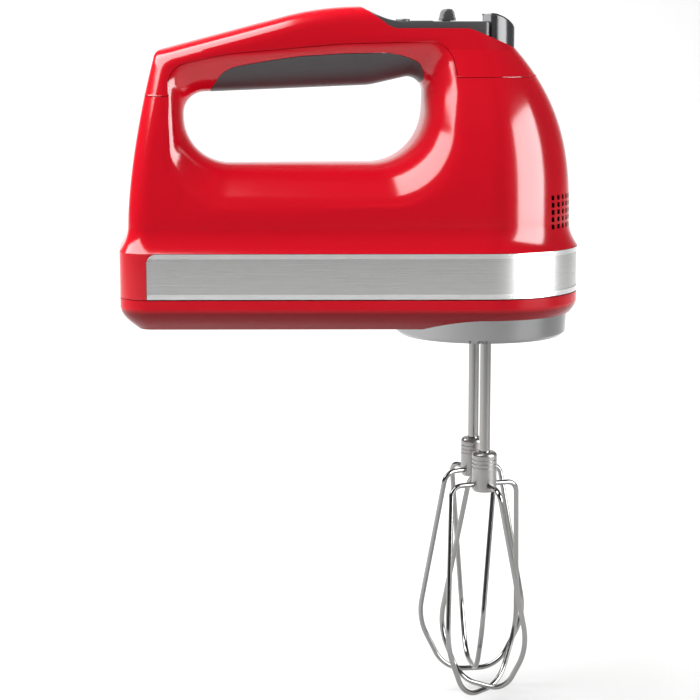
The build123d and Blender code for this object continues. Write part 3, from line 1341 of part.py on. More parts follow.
if __name__ == "__main__":
    os.makedirs("parts", exist_ok=True)
    housing_shell, cover_shell, grip = housing_parts()
    save("main_housing", main_housing(housing_shell))
    save("top_cover", top_cover(cover_shell))
    save("soft_grip", grip)
    save("bottom_pan", bottom_pan())
    save("pan_screws", *pan_screws())
    save("trim_band", trim_band())
    save("nose_ring", nose_ring())
    save("port_bushes", *port_bushes())
    save("control_panel", control_panel())
    save("display_window", display_window())
    save("power_switch_knob", power_switch_knob())
    for name, place in button_points().items():
        save(f"speed_{name}_button", speed_button(*place))
    save("ejector_button", ejector_button())
    save("ejector_yoke", ejector_yoke())
    save("ejector_spring", ejector_spring())
    save("gearbox_base", gearbox_base())
    save("gearbox_cover", gearbox_cover())
    save("gearbox_screws", *gearbox_screws())
    save("spindle_bushes", *spindle_bushes())
    save("worm_shaft", worm_shaft())
    save("motor_bearings", *motor_bearings())
    save("rear_bracket", rear_bracket())
    save("brush_holders", *brush_holders())
    save("carbon_brushes", *carbon_brushes())
    save("stator_core", stator_core())
    save("field_coils", *field_coils())
    save("armature_core", armature_core())
    save("armature_windings", armature_windings())
    save("commutator", commutator())
    save("cooling_fan", cooling_fan())
    save("circuit_board", circuit_board())
    save("switch_body", switch_body())
    save("terminal_block", terminal_block())
    save("cord_inlet", cord_inlet())
    for name in BEATER_SIDES:
        save(f"spindle_{name}", spindle(name))
        save(f"drive_gear_{name}", drive_gear(name))
        save(f"beater_{name}_shank", beater_shank(name))
        save(f"beater_{name}_collar", beater_collar(name))
        save(f"beater_{name}_loops", *beater_loops(name))
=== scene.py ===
import json
import math

import bmesh
import bpy
import numpy as np
from bpy.props import FloatProperty, FloatVectorProperty, PointerProperty
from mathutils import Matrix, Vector

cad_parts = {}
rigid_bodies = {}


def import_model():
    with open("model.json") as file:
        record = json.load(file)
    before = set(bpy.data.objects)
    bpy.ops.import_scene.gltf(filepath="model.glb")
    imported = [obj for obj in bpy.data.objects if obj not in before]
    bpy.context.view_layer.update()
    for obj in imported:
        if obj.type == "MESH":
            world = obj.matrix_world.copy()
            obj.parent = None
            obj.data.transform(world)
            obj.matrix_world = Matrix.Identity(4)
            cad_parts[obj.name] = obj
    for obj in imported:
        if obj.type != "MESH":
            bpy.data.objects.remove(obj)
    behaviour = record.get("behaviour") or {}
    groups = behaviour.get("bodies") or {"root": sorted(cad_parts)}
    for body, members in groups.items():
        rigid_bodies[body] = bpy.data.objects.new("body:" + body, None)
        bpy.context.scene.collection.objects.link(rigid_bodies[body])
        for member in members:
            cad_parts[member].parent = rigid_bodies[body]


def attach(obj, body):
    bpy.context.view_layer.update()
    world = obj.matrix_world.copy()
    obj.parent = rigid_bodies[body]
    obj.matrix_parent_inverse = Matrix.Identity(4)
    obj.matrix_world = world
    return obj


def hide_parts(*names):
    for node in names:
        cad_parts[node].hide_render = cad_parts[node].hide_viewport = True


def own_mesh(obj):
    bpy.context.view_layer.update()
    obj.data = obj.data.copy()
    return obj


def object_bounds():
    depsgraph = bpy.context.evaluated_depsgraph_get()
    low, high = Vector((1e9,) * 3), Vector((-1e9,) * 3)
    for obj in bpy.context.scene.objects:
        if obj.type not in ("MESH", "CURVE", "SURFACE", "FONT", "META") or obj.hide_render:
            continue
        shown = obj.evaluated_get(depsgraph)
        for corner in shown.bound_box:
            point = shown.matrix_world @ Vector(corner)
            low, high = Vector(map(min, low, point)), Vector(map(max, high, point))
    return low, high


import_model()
CAD_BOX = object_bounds()

bl_info = {
    "name": "Hand mixer dresser",
    "version": (1, 0, 0),
    "blender": (4, 5, 0),
    "location": "3D View > Sidebar > Mixer",
    "description": "Builds the finished skin, controls, metal and stage of a hand mixer",
    "category": "Object",
}

# Drawing frame in millimetres: X = 0 on the drive axis, Z = 0 under the pan
DRAWING_ORIGIN = np.array((73.0, 0.0, -118.0))
MM = 0.001

# Body plan
NOSE_RADIUS = 42.4
BODY_BACK = 158.5
SKIRT_TOP = 33.3
SKIRT_BASE = 13.7
WAIST_TOP = 43.9
WAIST_STEP = 3.9
SHOULDER = 118.0
HEEL_HALF = 30.0
HEEL_BEND = 14.0

# How far the plan draws in from the waist to the shoulder, and further over the crown's rise
CROWN_RISE = 24.0
SIDE_DRAW = 20.0
SIDE_CROWN = 8.0
NOSE_DRAW = 24.0
NOSE_CROWN = 15.0
HEEL_DRAW = 12.0
HEEL_CROWN = 2.0
HEEL_LEAN = 12.6
BEND_DRAW = 2.0

# Roof and deck
PEAK_X = -54.0
PEAK_Z = 136.5
PEAK_RADIUS = 129.0
CLIMB = math.radians(14.7)
ROOF_CROWN = 30.0
ROOF_SAG = 12.0
ROOF_BLEND = 6.0
DECK_Z = 127.1
DECK_BACK = -41.0
DECK_FRONT = -8.0

# Seams
REAR_SEAM = 98.6
NOSE_SEAM = 106.4
TONGUE = 0.9
TONGUE_SHARE = 0.93
GRIP_SEAT = 0.012

# Band recess and pan
RECESS_DEPTH = 1.4
RECESS_BACK = -147.2
RECESS_BEND = 4.0
PAN_BEAD = 8.6

# Air slots
SLOT_TURN = math.radians(6.6)
SLOT_BASE = 43.0
SLOT_PITCH = 3.1
SLOT_HALF = (4.0, 1.05, 1.05)

# Control panel
PANEL_Z = 130.1
PANEL_BACK = -51.6
PANEL_FRONT = 1.2
PANEL_HALF = 12.6
PANEL_SWEEP = -36.0
WINDOW_X = -27.4
BUTTON_X = -35.2
BUTTON_Y = 5.2
BUTTON_WELL = 2.85
SLIDE_X = -13.2

# Power switch
SWITCH_X = -15.8
STEM_X = -16.2
SWITCH_Z = 130.45
SWITCH_RISE = 4.95
SWITCH_REACH = 2.75
SWITCH_HALF = 6.0
SWITCH_EDGE = 0.9

# Ejector button and its well, a running gap larger
EJECTOR_Z = 133.6
EJECTOR_BASE = 116.6
EJECTOR_BACK = 1.7
EJECTOR_FRONT = 13.6
EJECTOR_HALF = 12.2
EJECTOR_GAP = 0.35

# Ejector spring
SPRING_LOW = 49.02
SPRING_HIGH = 65.98
SPRING_MEAN = 5.75
SPRING_WIRE = 0.45
SPRING_TURNS = 8

# Stage, in metres: the floor clears the beaters when the ejector lets them down
FLOOR_DROP = 0.0064
FLOOR_BEND = 1.2
LIGHT_TARGET = (0.01, 0.0, -0.06)
NOSE_LIGHT_SPOT = (0.846, -0.4825, 0.15)
CAMERA_TURN = math.radians(-5.5)
CAMERA_RAISE = math.radians(9.0)
CAMERA_TARGET = (0.0149, 0.0, -0.1315)
CAMERA_LENS = 101.0
CAMERA_SENSOR = 36.0


def place(points):
    """Drawing millimetres to metres in the part's own frame."""
    return (np.asarray(points, float) + DRAWING_ORIGIN) * MM


def soft_min(first, second, reach):
    """The smaller of two surfaces, with the edge where they meet rounded over a reach."""
    share = np.clip(0.5 + 0.5 * (second - first) / reach, 0.0, 1.0)
    return second * (1 - share) + first * share - reach * share * (1 - share)


def plan(height):
    """Plan of the body at a height: a nose circle and a heel corner circle that share a tangent.

    Above the skirt it steps in over the waist, then each size draws in by a power of the climb's share.
    """
    flare = np.clip((height - SKIRT_TOP) / (WAIST_TOP - SKIRT_TOP), 0.0, 1.0)
    step = WAIST_STEP * (1 - (1 - flare) ** 2)
    climb = np.maximum((height - WAIST_TOP) / (SHOULDER - WAIST_TOP), 0.0)
    draw = np.minimum(climb, 1.0)
    crown = np.maximum(height - SHOULDER, 0.0) / CROWN_RISE
    half = NOSE_RADIUS - step - SIDE_DRAW * draw**2 - SIDE_CROWN * crown
    front = NOSE_RADIUS - step - NOSE_DRAW * draw**2.75 - NOSE_CROWN * crown
    back = step - BODY_BACK + HEEL_LEAN * climb**1.6
    heel = HEEL_HALF - step - HEEL_DRAW * draw**1.3 - HEEL_CROWN * crown
    bend = HEEL_BEND - step - BEND_DRAW * climb
    return front, back, half, heel, bend


def skin(x, height):
    """Half width of the plan at x: the nose circle, the tangent line, then the heel's corner circle."""
    front, back, half, heel, bend = plan(height)
    nose_x = front - half
    corner_x = back + bend
    corner_y = heel - bend
    span = np.hypot(nose_x - corner_x, corner_y)
    turn = np.arctan2(-corner_y, nose_x - corner_x) + np.arccos((bend - half) / span)
    fore_x = nose_x + half * np.cos(turn)
    fore_y = half * np.sin(turn)
    aft_x = corner_x + bend * np.cos(turn)
    aft_y = corner_y + bend * np.sin(turn)
    line = fore_y + (aft_y - fore_y) * (x - fore_x) / (aft_x - fore_x)
    nose = np.sqrt(np.maximum(half**2 - (x - nose_x) ** 2, 0.0))
    corner = corner_y + np.sqrt(np.maximum(bend**2 - (x - corner_x) ** 2, 0.0))
    return np.where(x > fore_x, nose, np.where(x < aft_x, corner, line))


def ridge(x):
    """Height of the roof's ridge: a straight climb that runs into an arc at the peak."""
    back = np.maximum(PEAK_X - np.asarray(x, float), 0.0)
    reach = PEAK_RADIUS * math.sin(CLIMB)
    arc = PEAK_Z - PEAK_RADIUS + np.sqrt(np.maximum(PEAK_RADIUS**2 - np.minimum(back, reach) ** 2, 0.0))
    return arc - np.maximum(back - reach, 0.0) * math.tan(CLIMB)


def rounded(corners, bends, closed=True, turns=24):
    """Polyline through corners, each replaced by an arc of its bend that touches both sides."""
    corners = np.asarray(corners, float)
    runs = []
    for index, (corner, bend) in enumerate(zip(corners, bends)):
        ends = not closed and index in (0, len(corners) - 1)
        if bend == 0 or ends:
            runs.append(corner[None])
            continue
        before = corners[index - 1] - corner
        after = corners[(index + 1) % len(corners)] - corner
        before = before / np.linalg.norm(before)
        after = after / np.linalg.norm(after)
        half = math.acos(np.clip(before @ after, -1.0, 1.0)) / 2
        middle = before + after
        centre = corner + middle / np.linalg.norm(middle) * bend / math.sin(half)
        start = corner + before * bend / math.tan(half) - centre
        end = corner + after * bend / math.tan(half) - centre
        sweep = math.pi - 2 * half
        share = np.linspace(0.0, 1.0, turns)[:, None]
        arc = np.sin((1 - share) * sweep) * start + np.sin(share * sweep) * end
        runs.append(centre + arc / math.sin(sweep))
    return np.concatenate(runs)


class Loop:
    """Closed outline in the side view, walked by its length between named points."""

    def __init__(self, points):
        points = np.concatenate([points, points[:1]])
        length = np.concatenate([[0.0], np.cumsum(np.linalg.norm(np.diff(points, axis=0), axis=1))])
        self.total = length[-1]
        self.steps = np.linspace(0.0, self.total, 6001)
        self.points = np.stack([np.interp(self.steps, length, points[:, k]) for k in (0, 1)], axis=-1)

    def where(self, point):
        """Length along the outline at its nearest place to a point."""
        return self.steps[np.argmin(np.linalg.norm(self.points - np.asarray(point), axis=1))]

    def walk(self, start, end, share):
        """Points at shares of the way from a start to an end, measured along the outline."""
        first = self.where(start)
        way = (self.where(end) - first) % self.total
        at = (first + way * share) % self.total
        return np.stack([np.interp(at, self.steps, self.points[:, k]) for k in (0, 1)], axis=-1)


def throat_loop():
    """Narrowest outline of the hand opening, on the mid-plane."""
    corners = ((-130.0, 99.8), (-50.0, 103.0), (-26.5, 108.3), (-26.5, 69.8), (-130.0, 69.8))
    return Loop(rounded(corners, (9.0, 30.0, 7.0, 23.0, 20.0)))


def rim_loop():
    """Outline where the flared opening meets the outer skin."""
    corners = (
        (-136.6, 110.5), (-112.0, 116.1), (-62.0, 120.4), (-17.2, 121.4),
        (-14.0, 104.0), (-15.8, 53.6), (-136.4, 53.2),
    )
    return Loop(rounded(corners, (9.0, 60.0, 60.0, 9.5, 40.0, 30.0, 22.0)))


def outer_loop():
    """Side outline of the body: heel, climb, peak, deck, brow, nose and the skirt's top."""
    rise = np.linspace(SKIRT_TOP, 106.0, 60)
    heel = np.stack([plan(rise)[1], rise], axis=-1)
    along = np.linspace(-131.0, -60.0, 60)
    climb = np.stack([along, ridge(along)], axis=-1)
    fall = np.linspace(106.0, SKIRT_TOP, 90)
    nose = np.stack([plan(fall)[0], fall], axis=-1)
    corners = np.concatenate([
        heel, [(-142.0, 117.75)], climb, [(PEAK_X, PEAK_Z), (DECK_BACK, DECK_Z), (DECK_FRONT, DECK_Z)],
        [(18.2, 116.5)], nose,
    ])
    bends = np.concatenate([np.zeros(60), [5.0], np.zeros(60), [1.6, 7.0, 12.0, 5.0], np.zeros(90)])
    return Loop(rounded(corners, bends))


def ease_in(share):
    """Shares that lie close together at the start: the square."""
    return share**2


def ease_out(share):
    """Shares that lie close together at the end: the square, turned round."""
    return 1 - (1 - share) ** 2


def even(share):
    """Shares left evenly spaced."""
    return share


def nose_point(height):
    """Point on the nose's side outline at a height."""
    return float(plan(np.array(height))[0]), height


def heel_point(height):
    """Point on the heel's side outline at a height."""
    return float(plan(np.array(height))[1]), height


def ridge_point(x):
    """Point on the roof's ridge at a place along the body."""
    return x, float(ridge(x))


def body_stations():
    """Matched points on the throat, the rim and the outside, with the lines that lead up to each."""
    return (
        ((-130.0, 92.0), (-136.6, REAR_SEAM), heel_point(REAR_SEAM), 36, even),
        ((-127.0, 99.6), (-133.0, 109.5), (-141.0, 117.0), 36, even),
        ((-118.7, 100.2), (-116.0, 115.2), ridge_point(-125.0), 24, even),
        ((-85.0, 101.6), (-85.0, 118.4), ridge_point(-85.0), 50, even),
        ((-54.0, 102.8), (-52.0, 120.8), (PEAK_X, PEAK_Z), 44, even),
        ((-42.0, 104.8), (-40.0, 121.1), (DECK_BACK, DECK_Z), 30, even),
        ((-33.5, 107.6), (-25.0, 121.0), (DECK_FRONT, DECK_Z), 44, even),
        ((-27.5, 104.5), (-16.5, 117.0), (17.6, 116.2), 44, even),
        ((-26.5, 97.0), (-14.2, NOSE_SEAM), nose_point(NOSE_SEAM), 24, even),
        ((-26.5, 90.0), (-15.0, 84.0), nose_point(72.0), 40, even),
        ((-27.5, 84.0), (-19.0, 70.5), nose_point(45.0), 36, even),
        ((-33.2, 76.4), (-26.0, 61.8), nose_point(SKIRT_TOP), 26, even),
        ((-52.0, 69.9), (-50.0, 53.6), (0.0, SKIRT_TOP), 60, ease_in),
        ((-100.0, 69.9), (-104.0, 53.4), (-118.0, SKIRT_TOP), 60, even),
        ((-113.0, 69.9), (-121.0, 55.6), (RECESS_BACK, SKIRT_TOP), 30, even),
        ((-124.2, 75.7), (-129.6, 60.2), heel_point(SKIRT_TOP), 40, ease_out),
        ((-129.6, 86.0), (-136.0, 76.0), heel_point(66.0), 30, even),
    )


COVER_STATIONS = range(0, 8)
GRIP_STATIONS = range(2, 7)
LOWER_STATIONS = range(8, 17)
SKIRT_STATIONS = range(11, 15)
RECESS_STATIONS = range(11, 14)
HEEL_STATIONS = range(15, 17)


class BodyLines:
    """Side view of the body as lines that run from the throat over the rim to the outside."""

    def __init__(self, settings):
        self.crease = settings.crease_reach
        stations = body_stations()
        loops = (throat_loop(), rim_loop(), outer_loop())
        runs = ([], [], [])
        owner = []
        for index, station in enumerate(stations):
            following = stations[(index + 1) % len(stations)]
            share = following[4](np.linspace(0.0, 1.0, following[3] + 1))
            if index == len(stations) - 1:
                share = np.linspace(0.0, 1.0, stations[0][3] + 1)
            for k in range(3):
                runs[k].append(loops[k].walk(station[k], following[k], share))
            owner.append(np.full(len(share), index))
        self.throat, self.rim, self.outside = (np.concatenate(run) for run in runs)
        self.owner = np.concatenate(owner)
        front, back = plan(self.outside[:, 1])[:2]
        self.outside[:, 0] = np.clip(self.outside[:, 0], back, front)
        self.at_tip = self.outside[:, 0] > front - 0.06
        self.rim_half = skin(self.rim[:, 0], self.rim[:, 1])

    def pick(self, stations):
        """Numbers of the lines that belong to a range of stations."""
        return np.flatnonzero(np.isin(self.owner, stations))

    def half_width(self, x, height, share, lines):
        """Flare growing with the cube root of its share, cut off softly by the skin and the roof.

        The roof is an arc down to its sag and a slope of one to one below that.
        """
        flare = self.rim_half[lines] * np.cbrt(np.maximum(share, 0.0))
        below = np.maximum(ridge(x) - height, 0.0)
        arch = np.minimum(below, ROOF_SAG)
        crown = np.sqrt(np.maximum(ROOF_CROWN**2 - (ROOF_CROWN - arch) ** 2, 0.0)) + (below - arch)
        side = skin(x, height)
        outer = np.where(side < 3.0, np.minimum(side, crown), soft_min(side, crown, ROOF_BLEND))
        width = soft_min(flare, outer, self.crease)
        return np.where(flare < self.crease, flare, np.maximum(width, 0.0))

    def inner(self, share, lines):
        """Points between the throat and the rim for rows of shares."""
        flat = self.throat[lines] + share[..., None] * (self.rim[lines] - self.throat[lines])
        y = self.half_width(flat[..., 0], flat[..., 1], share, lines)
        return np.stack([flat[..., 0], y, flat[..., 1]], axis=-1)

    def outer(self, share, lines, lift=0.0):
        """Points between the rim and the outside for rows of shares, the rim moved out by a gap."""
        reach = self.outside[lines] - self.rim[lines]
        length = np.linalg.norm(reach, axis=1)
        start = self.rim[lines] + reach * (lift / np.maximum(length, lift))[:, None]
        flat = start + share[..., None] * (self.outside[lines] - start)
        inner = np.linalg.norm(self.rim[lines] - self.throat[lines], axis=1)
        gone = 1 + (lift + share * (length - lift)) / inner
        y = self.half_width(flat[..., 0], flat[..., 1], gone, lines)
        y[-1, self.at_tip[lines]] = 0.0
        return np.stack([flat[..., 0], y, flat[..., 1]], axis=-1)


class Skin:
    """Grids of points on one side of the mid-plane, mirrored and welded into one closed mesh."""

    def __init__(self):
        self.grids = []

    def add(self, grid):
        """Takes in one grid of points."""
        self.grids.append(np.asarray(grid, float))

    def close(self, row, tongue=0.0):
        """Flat strip from a row of points to the mid-plane, with a raised tongue inside its edge."""
        rows = [row]
        if tongue:
            inset = row * (1.0, TONGUE_SHARE, 1.0)
            rows += [inset, inset + (0.0, 0.0, tongue)]
        self.add(np.stack([*rows, rows[-1] * (1.0, 0.0, 1.0)]))

    def piece(self, name, body, slot, replaces, sharp):
        """Mesh piece of all grids and their mirror images, whose faces run the other way round."""
        points = []
        quads = []
        start = 0
        for grid in self.grids:
            for side in (1.0, -1.0):
                rows, columns = grid.shape[:2]
                index = np.arange(rows * columns).reshape(rows, columns) + start
                quads.append(grid_quads(index)[:, :: int(side)])
                points.append((grid * (1.0, side, 1.0)).reshape(-1, 3))
                start += rows * columns
        return weld(name, np.concatenate(points), np.concatenate(quads), body, replaces, sharp)


def grid_quads(index):
    """Faces between the rows and columns of a grid of point numbers."""
    return np.stack([index[:-1, :-1], index[1:, :-1], index[1:, 1:], index[:-1, 1:]], axis=-1).reshape(-1, 4)


def weld(name, points, quads, body, replaces, sharp):
    """Mesh piece from points and quads: equal points become one and flat-pinched quads triangles."""
    first, order = np.unique(np.round(points, 4), axis=0, return_index=True, return_inverse=True)[1:]
    quads = order.reshape(-1)[quads]
    twice = quads == np.roll(quads, -1, axis=1)
    crossed = (quads[:, 0] == quads[:, 2]) | (quads[:, 1] == quads[:, 3])
    whole = quads[(twice.sum(1) == 0) & ~crossed]
    pinched = (twice.sum(1) == 1) & ~crossed
    corners = quads[pinched][~twice[pinched]].reshape(-1, 3)
    used, number = np.unique(np.concatenate([whole.ravel(), corners.ravel()]), return_inverse=True)
    whole = number[: whole.size].reshape(-1, 4)
    corners = number[whole.size :].reshape(-1, 3)
    mesh = bpy.data.meshes.new(name)
    mesh.from_pydata(place(points[first[used]]).tolist(), [], whole.tolist() + corners.tolist())
    shape = bmesh.new()
    shape.from_mesh(mesh)
    bmesh.ops.recalc_face_normals(shape, faces=shape.faces)
    shape.to_mesh(mesh)
    shape.free()
    mesh.shade_smooth()
    mesh.set_sharp_from_angle(angle=math.radians(sharp))
    piece = bpy.data.objects.new(name, mesh)
    bpy.context.scene.collection.objects.link(piece)
    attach(piece, body)
    if replaces:
        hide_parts(*replaces)
    return piece


def grip_share(x):
    """Share of the flare that the soft grip covers, by its place along the handle."""
    along = (-118.7, -118.0, -116.0, -114.0, -110.0, -102.0, -90.0, -81.0, -64.0, -50.0, -44.0, -40.0,
             -36.0, -32.0, -29.0, -27.5)
    cover = (0.0, 0.2, 0.43, 0.55, 0.64, 0.70, 0.76, 0.79, 0.775, 0.765, 0.74, 0.66, 0.52, 0.34, 0.15, 0.0)
    return np.interp(x, along, cover)


def grip_edge(body):
    """Grip's edge share on each line, smoothed by a bell-shaped mean and zero away from the handle."""
    share = grip_share(body.throat[:, 0]) * np.isin(body.owner, GRIP_STATIONS)
    width = 9
    bell = np.hanning(width) / np.hanning(width).sum()
    smoothed = np.convolve(np.pad(share, width, mode="wrap"), bell, "same")[width:-width]
    return np.where(share > 0, smoothed, 0.0)


def smooth_share(rows):
    """Rows of shares from 0 to 1 that lie close together at both ends."""
    share = np.linspace(0.0, 1.0, rows + 1)
    return share * share * (3 - 2 * share)


def linked(material, piece):
    """Gives a piece one material in place of its own."""
    piece.data.materials.clear()
    piece.data.materials.append(material)


class Field:
    """Node socket that takes part in arithmetic: each operation adds one Math node."""

    def __init__(self, tree, socket=None):
        self.tree = tree
        self.socket = socket

    def node(self, kind, settings=None, values=None, out=0):
        """Node of any type: its settings are set first, then its sockets get values or links."""
        made = self.tree.nodes.new(kind)
        for key, value in (settings or {}).items():
            if key == "stops":
                ramp = made.color_ramp
                while len(ramp.elements) < len(value):
                    ramp.elements.new(1.0)
                for element, (position, colour) in zip(ramp.elements, value):
                    element.position = position
                    element.color = colour
            else:
                setattr(made, key, value)
        for key, value in (values or {}).items():
            if isinstance(value, Field):
                self.tree.links.new(value.socket, made.inputs[key])
            else:
                made.inputs[key].default_value = value
        return Field(self.tree, made.outputs[out] if made.outputs else None)

    def math(self, operation, first, second):
        """Math node on two values."""
        return self.node("ShaderNodeMath", {"operation": operation}, {0: first, 1: second})

    def __add__(self, other):
        return self.math("ADD", self, other)

    def __radd__(self, other):
        return self.math("ADD", other, self)

    def __sub__(self, other):
        return self.math("SUBTRACT", self, other)

    def __rsub__(self, other):
        return self.math("SUBTRACT", other, self)

    def __mul__(self, other):
        return self.math("MULTIPLY", self, other)

    def __rmul__(self, other):
        return self.math("MULTIPLY", other, self)


def blank(name):
    """Empty material, its field and the Object coordinates."""
    material = bpy.data.materials.new(name)
    material.use_nodes = True
    material.node_tree.nodes.clear()
    field = Field(material.node_tree)
    return material, field, field.node("ShaderNodeTexCoord", out="Object")


def finish(name, colour, shade, rough, metal=0.0, coat=0.0, grain=(400.0, 400.0, 400.0), swing=0.06,
           bump=0.0, mottle=0.25, extra=None):
    """Procedural finish: a base colour drifting to a shade, a roughness grain and a fine bump."""
    material, field, spot = blank(name)
    stretched = field.node("ShaderNodeMapping", None, {"Vector": spot, "Scale": grain})
    fine = field.node("ShaderNodeTexNoise", None, {"Vector": stretched, "Scale": 1.0, "Detail": 4.0})
    wide = field.node("ShaderNodeTexNoise", None, {"Vector": spot, "Scale": 22.0, "Detail": 2.0})
    mask = wide * mottle + fine * (0.5 * mottle)
    base = field.node(
        "ShaderNodeMix", {"data_type": "RGBA"},
        {"Factor": mask, 6: (*colour, 1.0), 7: (*shade, 1.0)}, out=2,
    )
    roughness = fine * swing + (rough - 0.5 * swing)
    values = {"Base Color": base, "Roughness": roughness, "Metallic": metal, "Coat Weight": coat}
    if coat:
        values["Coat Roughness"] = 0.04
    if bump:
        values["Normal"] = field.node(
            "ShaderNodeBump", None, {"Strength": bump, "Distance": 0.0002, "Height": fine}, out="Normal"
        )
    surface = field.node("ShaderNodeBsdfPrincipled", None, {**values, **(extra or {})})
    field.node("ShaderNodeOutputMaterial", None, {"Surface": surface})
    return material


def dress(material, *nodes):
    """Puts one finish on carried-over nodes."""
    for name in nodes:
        for piece in frame_objects(name):
            linked(material, piece)


def frame_objects(name):
    """Objects of the frame that hold a CAD node."""
    meshes = (piece for piece in bpy.data.objects if piece.type == "MESH")
    found = [piece for piece in meshes if piece.name.split(".")[0] == name]
    if not found:
        raise ValueError(f"no node named {name}")
    return found


class MixerShellSettings(bpy.types.PropertyGroup):
    """Sizes and colours of the skin"""

    seam_gap: FloatProperty(
        name="Seam gap", description="Gap between the housing and its cover in millimetres",
        default=0.3, min=0.05, max=1.0,
    )
    crease_reach: FloatProperty(
        name="Crease reach",
        description="Width over which the rim of the hand opening is rounded, in millimetres",
        default=2.4, min=0.2, max=8.0,
    )
    shell_colour: FloatVectorProperty(
        name="Shell colour", description="Colour of the glossy housing and cover", subtype="COLOR",
        default=(0.44, 0.0019, 0.0095), min=0.0, max=1.0,
    )
    grip_colour: FloatVectorProperty(
        name="Grip colour", description="Colour of the soft grip", subtype="COLOR",
        default=(0.030, 0.029, 0.032), min=0.0, max=1.0,
    )
    control_colour: FloatVectorProperty(
        name="Control colour", description="Colour of the panel, switch and ejector", subtype="COLOR",
        default=(0.042, 0.042, 0.045), min=0.0, max=1.0,
    )


class MixerStageSettings(bpy.types.PropertyGroup):
    """Lights and camera"""

    key_power: FloatProperty(
        name="Key light", description="Power of the large soft light above the heel", default=70.0, min=0.0,
        unit="POWER",
    )
    nose_power: FloatProperty(
        name="Nose light", description="Power of the soft light beside the nose, seen in gloss only",
        default=21.0, min=0.0, unit="POWER",
    )
    fill_power: FloatProperty(
        name="Nose fill", description="Power of the soft fill from the nose's side", default=10.0, min=0.0,
        unit="POWER",
    )
    wall_power: FloatProperty(
        name="Back wash", description="Power of the light on the floor behind", default=95.0, min=0.0,
        unit="POWER",
    )
    front_power: FloatProperty(
        name="Front wash", description="Power of the light on the floor in front", default=1.5, min=0.0,
        unit="POWER",
    )
    room_light: FloatProperty(
        name="Room light", description="Strength of the even room light", default=0.10, min=0.0,
    )
    camera_distance: FloatProperty(
        name="Camera distance", description="Distance from the camera to the middle of the mixer",
        default=0.87, min=0.2, unit="LENGTH",
    )


class MixerSettings(bpy.types.PropertyGroup):
    """All settings of the mixer"""

    shell: PointerProperty(
        name="Shell", description="Sizes and colours of the skin", type=MixerShellSettings
    )
    stage: PointerProperty(name="Stage", description="Lights and camera", type=MixerStageSettings)


def box_corners(centres, halves, turns):
    """Corners of many boxes, each turned about the upright axis through the drawing's origin."""
    signs = np.array(np.meshgrid((-1, 1), (-1, 1), (-1, 1), indexing="ij")).reshape(3, -1).T
    corners = np.asarray(centres)[:, None] + signs * np.atleast_2d(halves)[:, None]
    cos = np.cos(turns)[:, None]
    sin = np.sin(turns)[:, None]
    x = corners[..., 0] * cos - corners[..., 1] * sin
    y = corners[..., 0] * sin + corners[..., 1] * cos
    return np.stack([x, y, corners[..., 2]], axis=-1)


def air_slots():
    """Square air holes: five rows by fifteen columns round the nose's drive axis."""
    turn, row = np.meshgrid(SLOT_TURN * np.arange(-7, 8), np.arange(5), indexing="ij")
    height = SLOT_BASE + SLOT_PITCH * row.ravel()
    reach = plan(height)[0]
    centres = np.stack([reach, 0 * reach, height], axis=-1)
    return box_corners(centres, SLOT_HALF, turn.ravel())


def box_solids(corners):
    """Points and faces of boxes given by their eight corners."""
    faces = np.array(((0, 1, 3, 2), (4, 6, 7, 5), (0, 4, 5, 1), (2, 3, 7, 6), (0, 2, 6, 4), (1, 5, 7, 3)))
    index = faces[None] + 8 * np.arange(len(corners))[:, None, None]
    return corners.reshape(-1, 3), index.reshape(-1, 4).tolist()


def prism_solid(outline, low, high):
    """Points and faces of one upright prism on a closed plan outline."""
    count = len(outline)
    level = np.ones((count, 1))
    points = np.concatenate([np.concatenate([outline, level * z], axis=-1) for z in (low, high)])
    step = np.arange(count)
    after = (step + 1) % count
    walls = np.stack([step, after, count + after, count + step], axis=-1).tolist()
    return points, walls + [step[::-1].tolist(), (count + step).tolist()]


def well_solids(spots, radius, low, high, sides=32):
    """Points and faces of round upright wells: a prism on a circle about each spot."""
    turn = 2 * math.pi * np.arange(sides) / sides
    circle = radius * np.stack([np.cos(turn), np.sin(turn)], axis=-1)
    points = []
    faces = []
    for number, spot in enumerate(np.asarray(spots)):
        ring, sheets = prism_solid(spot + circle, low, high)
        points.append(ring)
        faces += [[corner + 2 * sides * number for corner in sheet] for sheet in sheets]
    return np.concatenate(points), faces


def rectangle(back, front, half):
    """Corners of a plan rectangle, counter-clockwise."""
    return (back, -half), (front, -half), (front, half), (back, half)


def ejector_well():
    """Well in which the ejector slides: its plan grown by a running gap."""
    corners = rectangle(EJECTOR_BACK - EJECTOR_GAP, EJECTOR_FRONT + EJECTOR_GAP, EJECTOR_HALF + EJECTOR_GAP)
    outline = Loop(rounded(corners, (2.5, 12.1, 12.1, 2.5))).points[:-1:40]
    return prism_solid(outline, 96.0, 140.0)


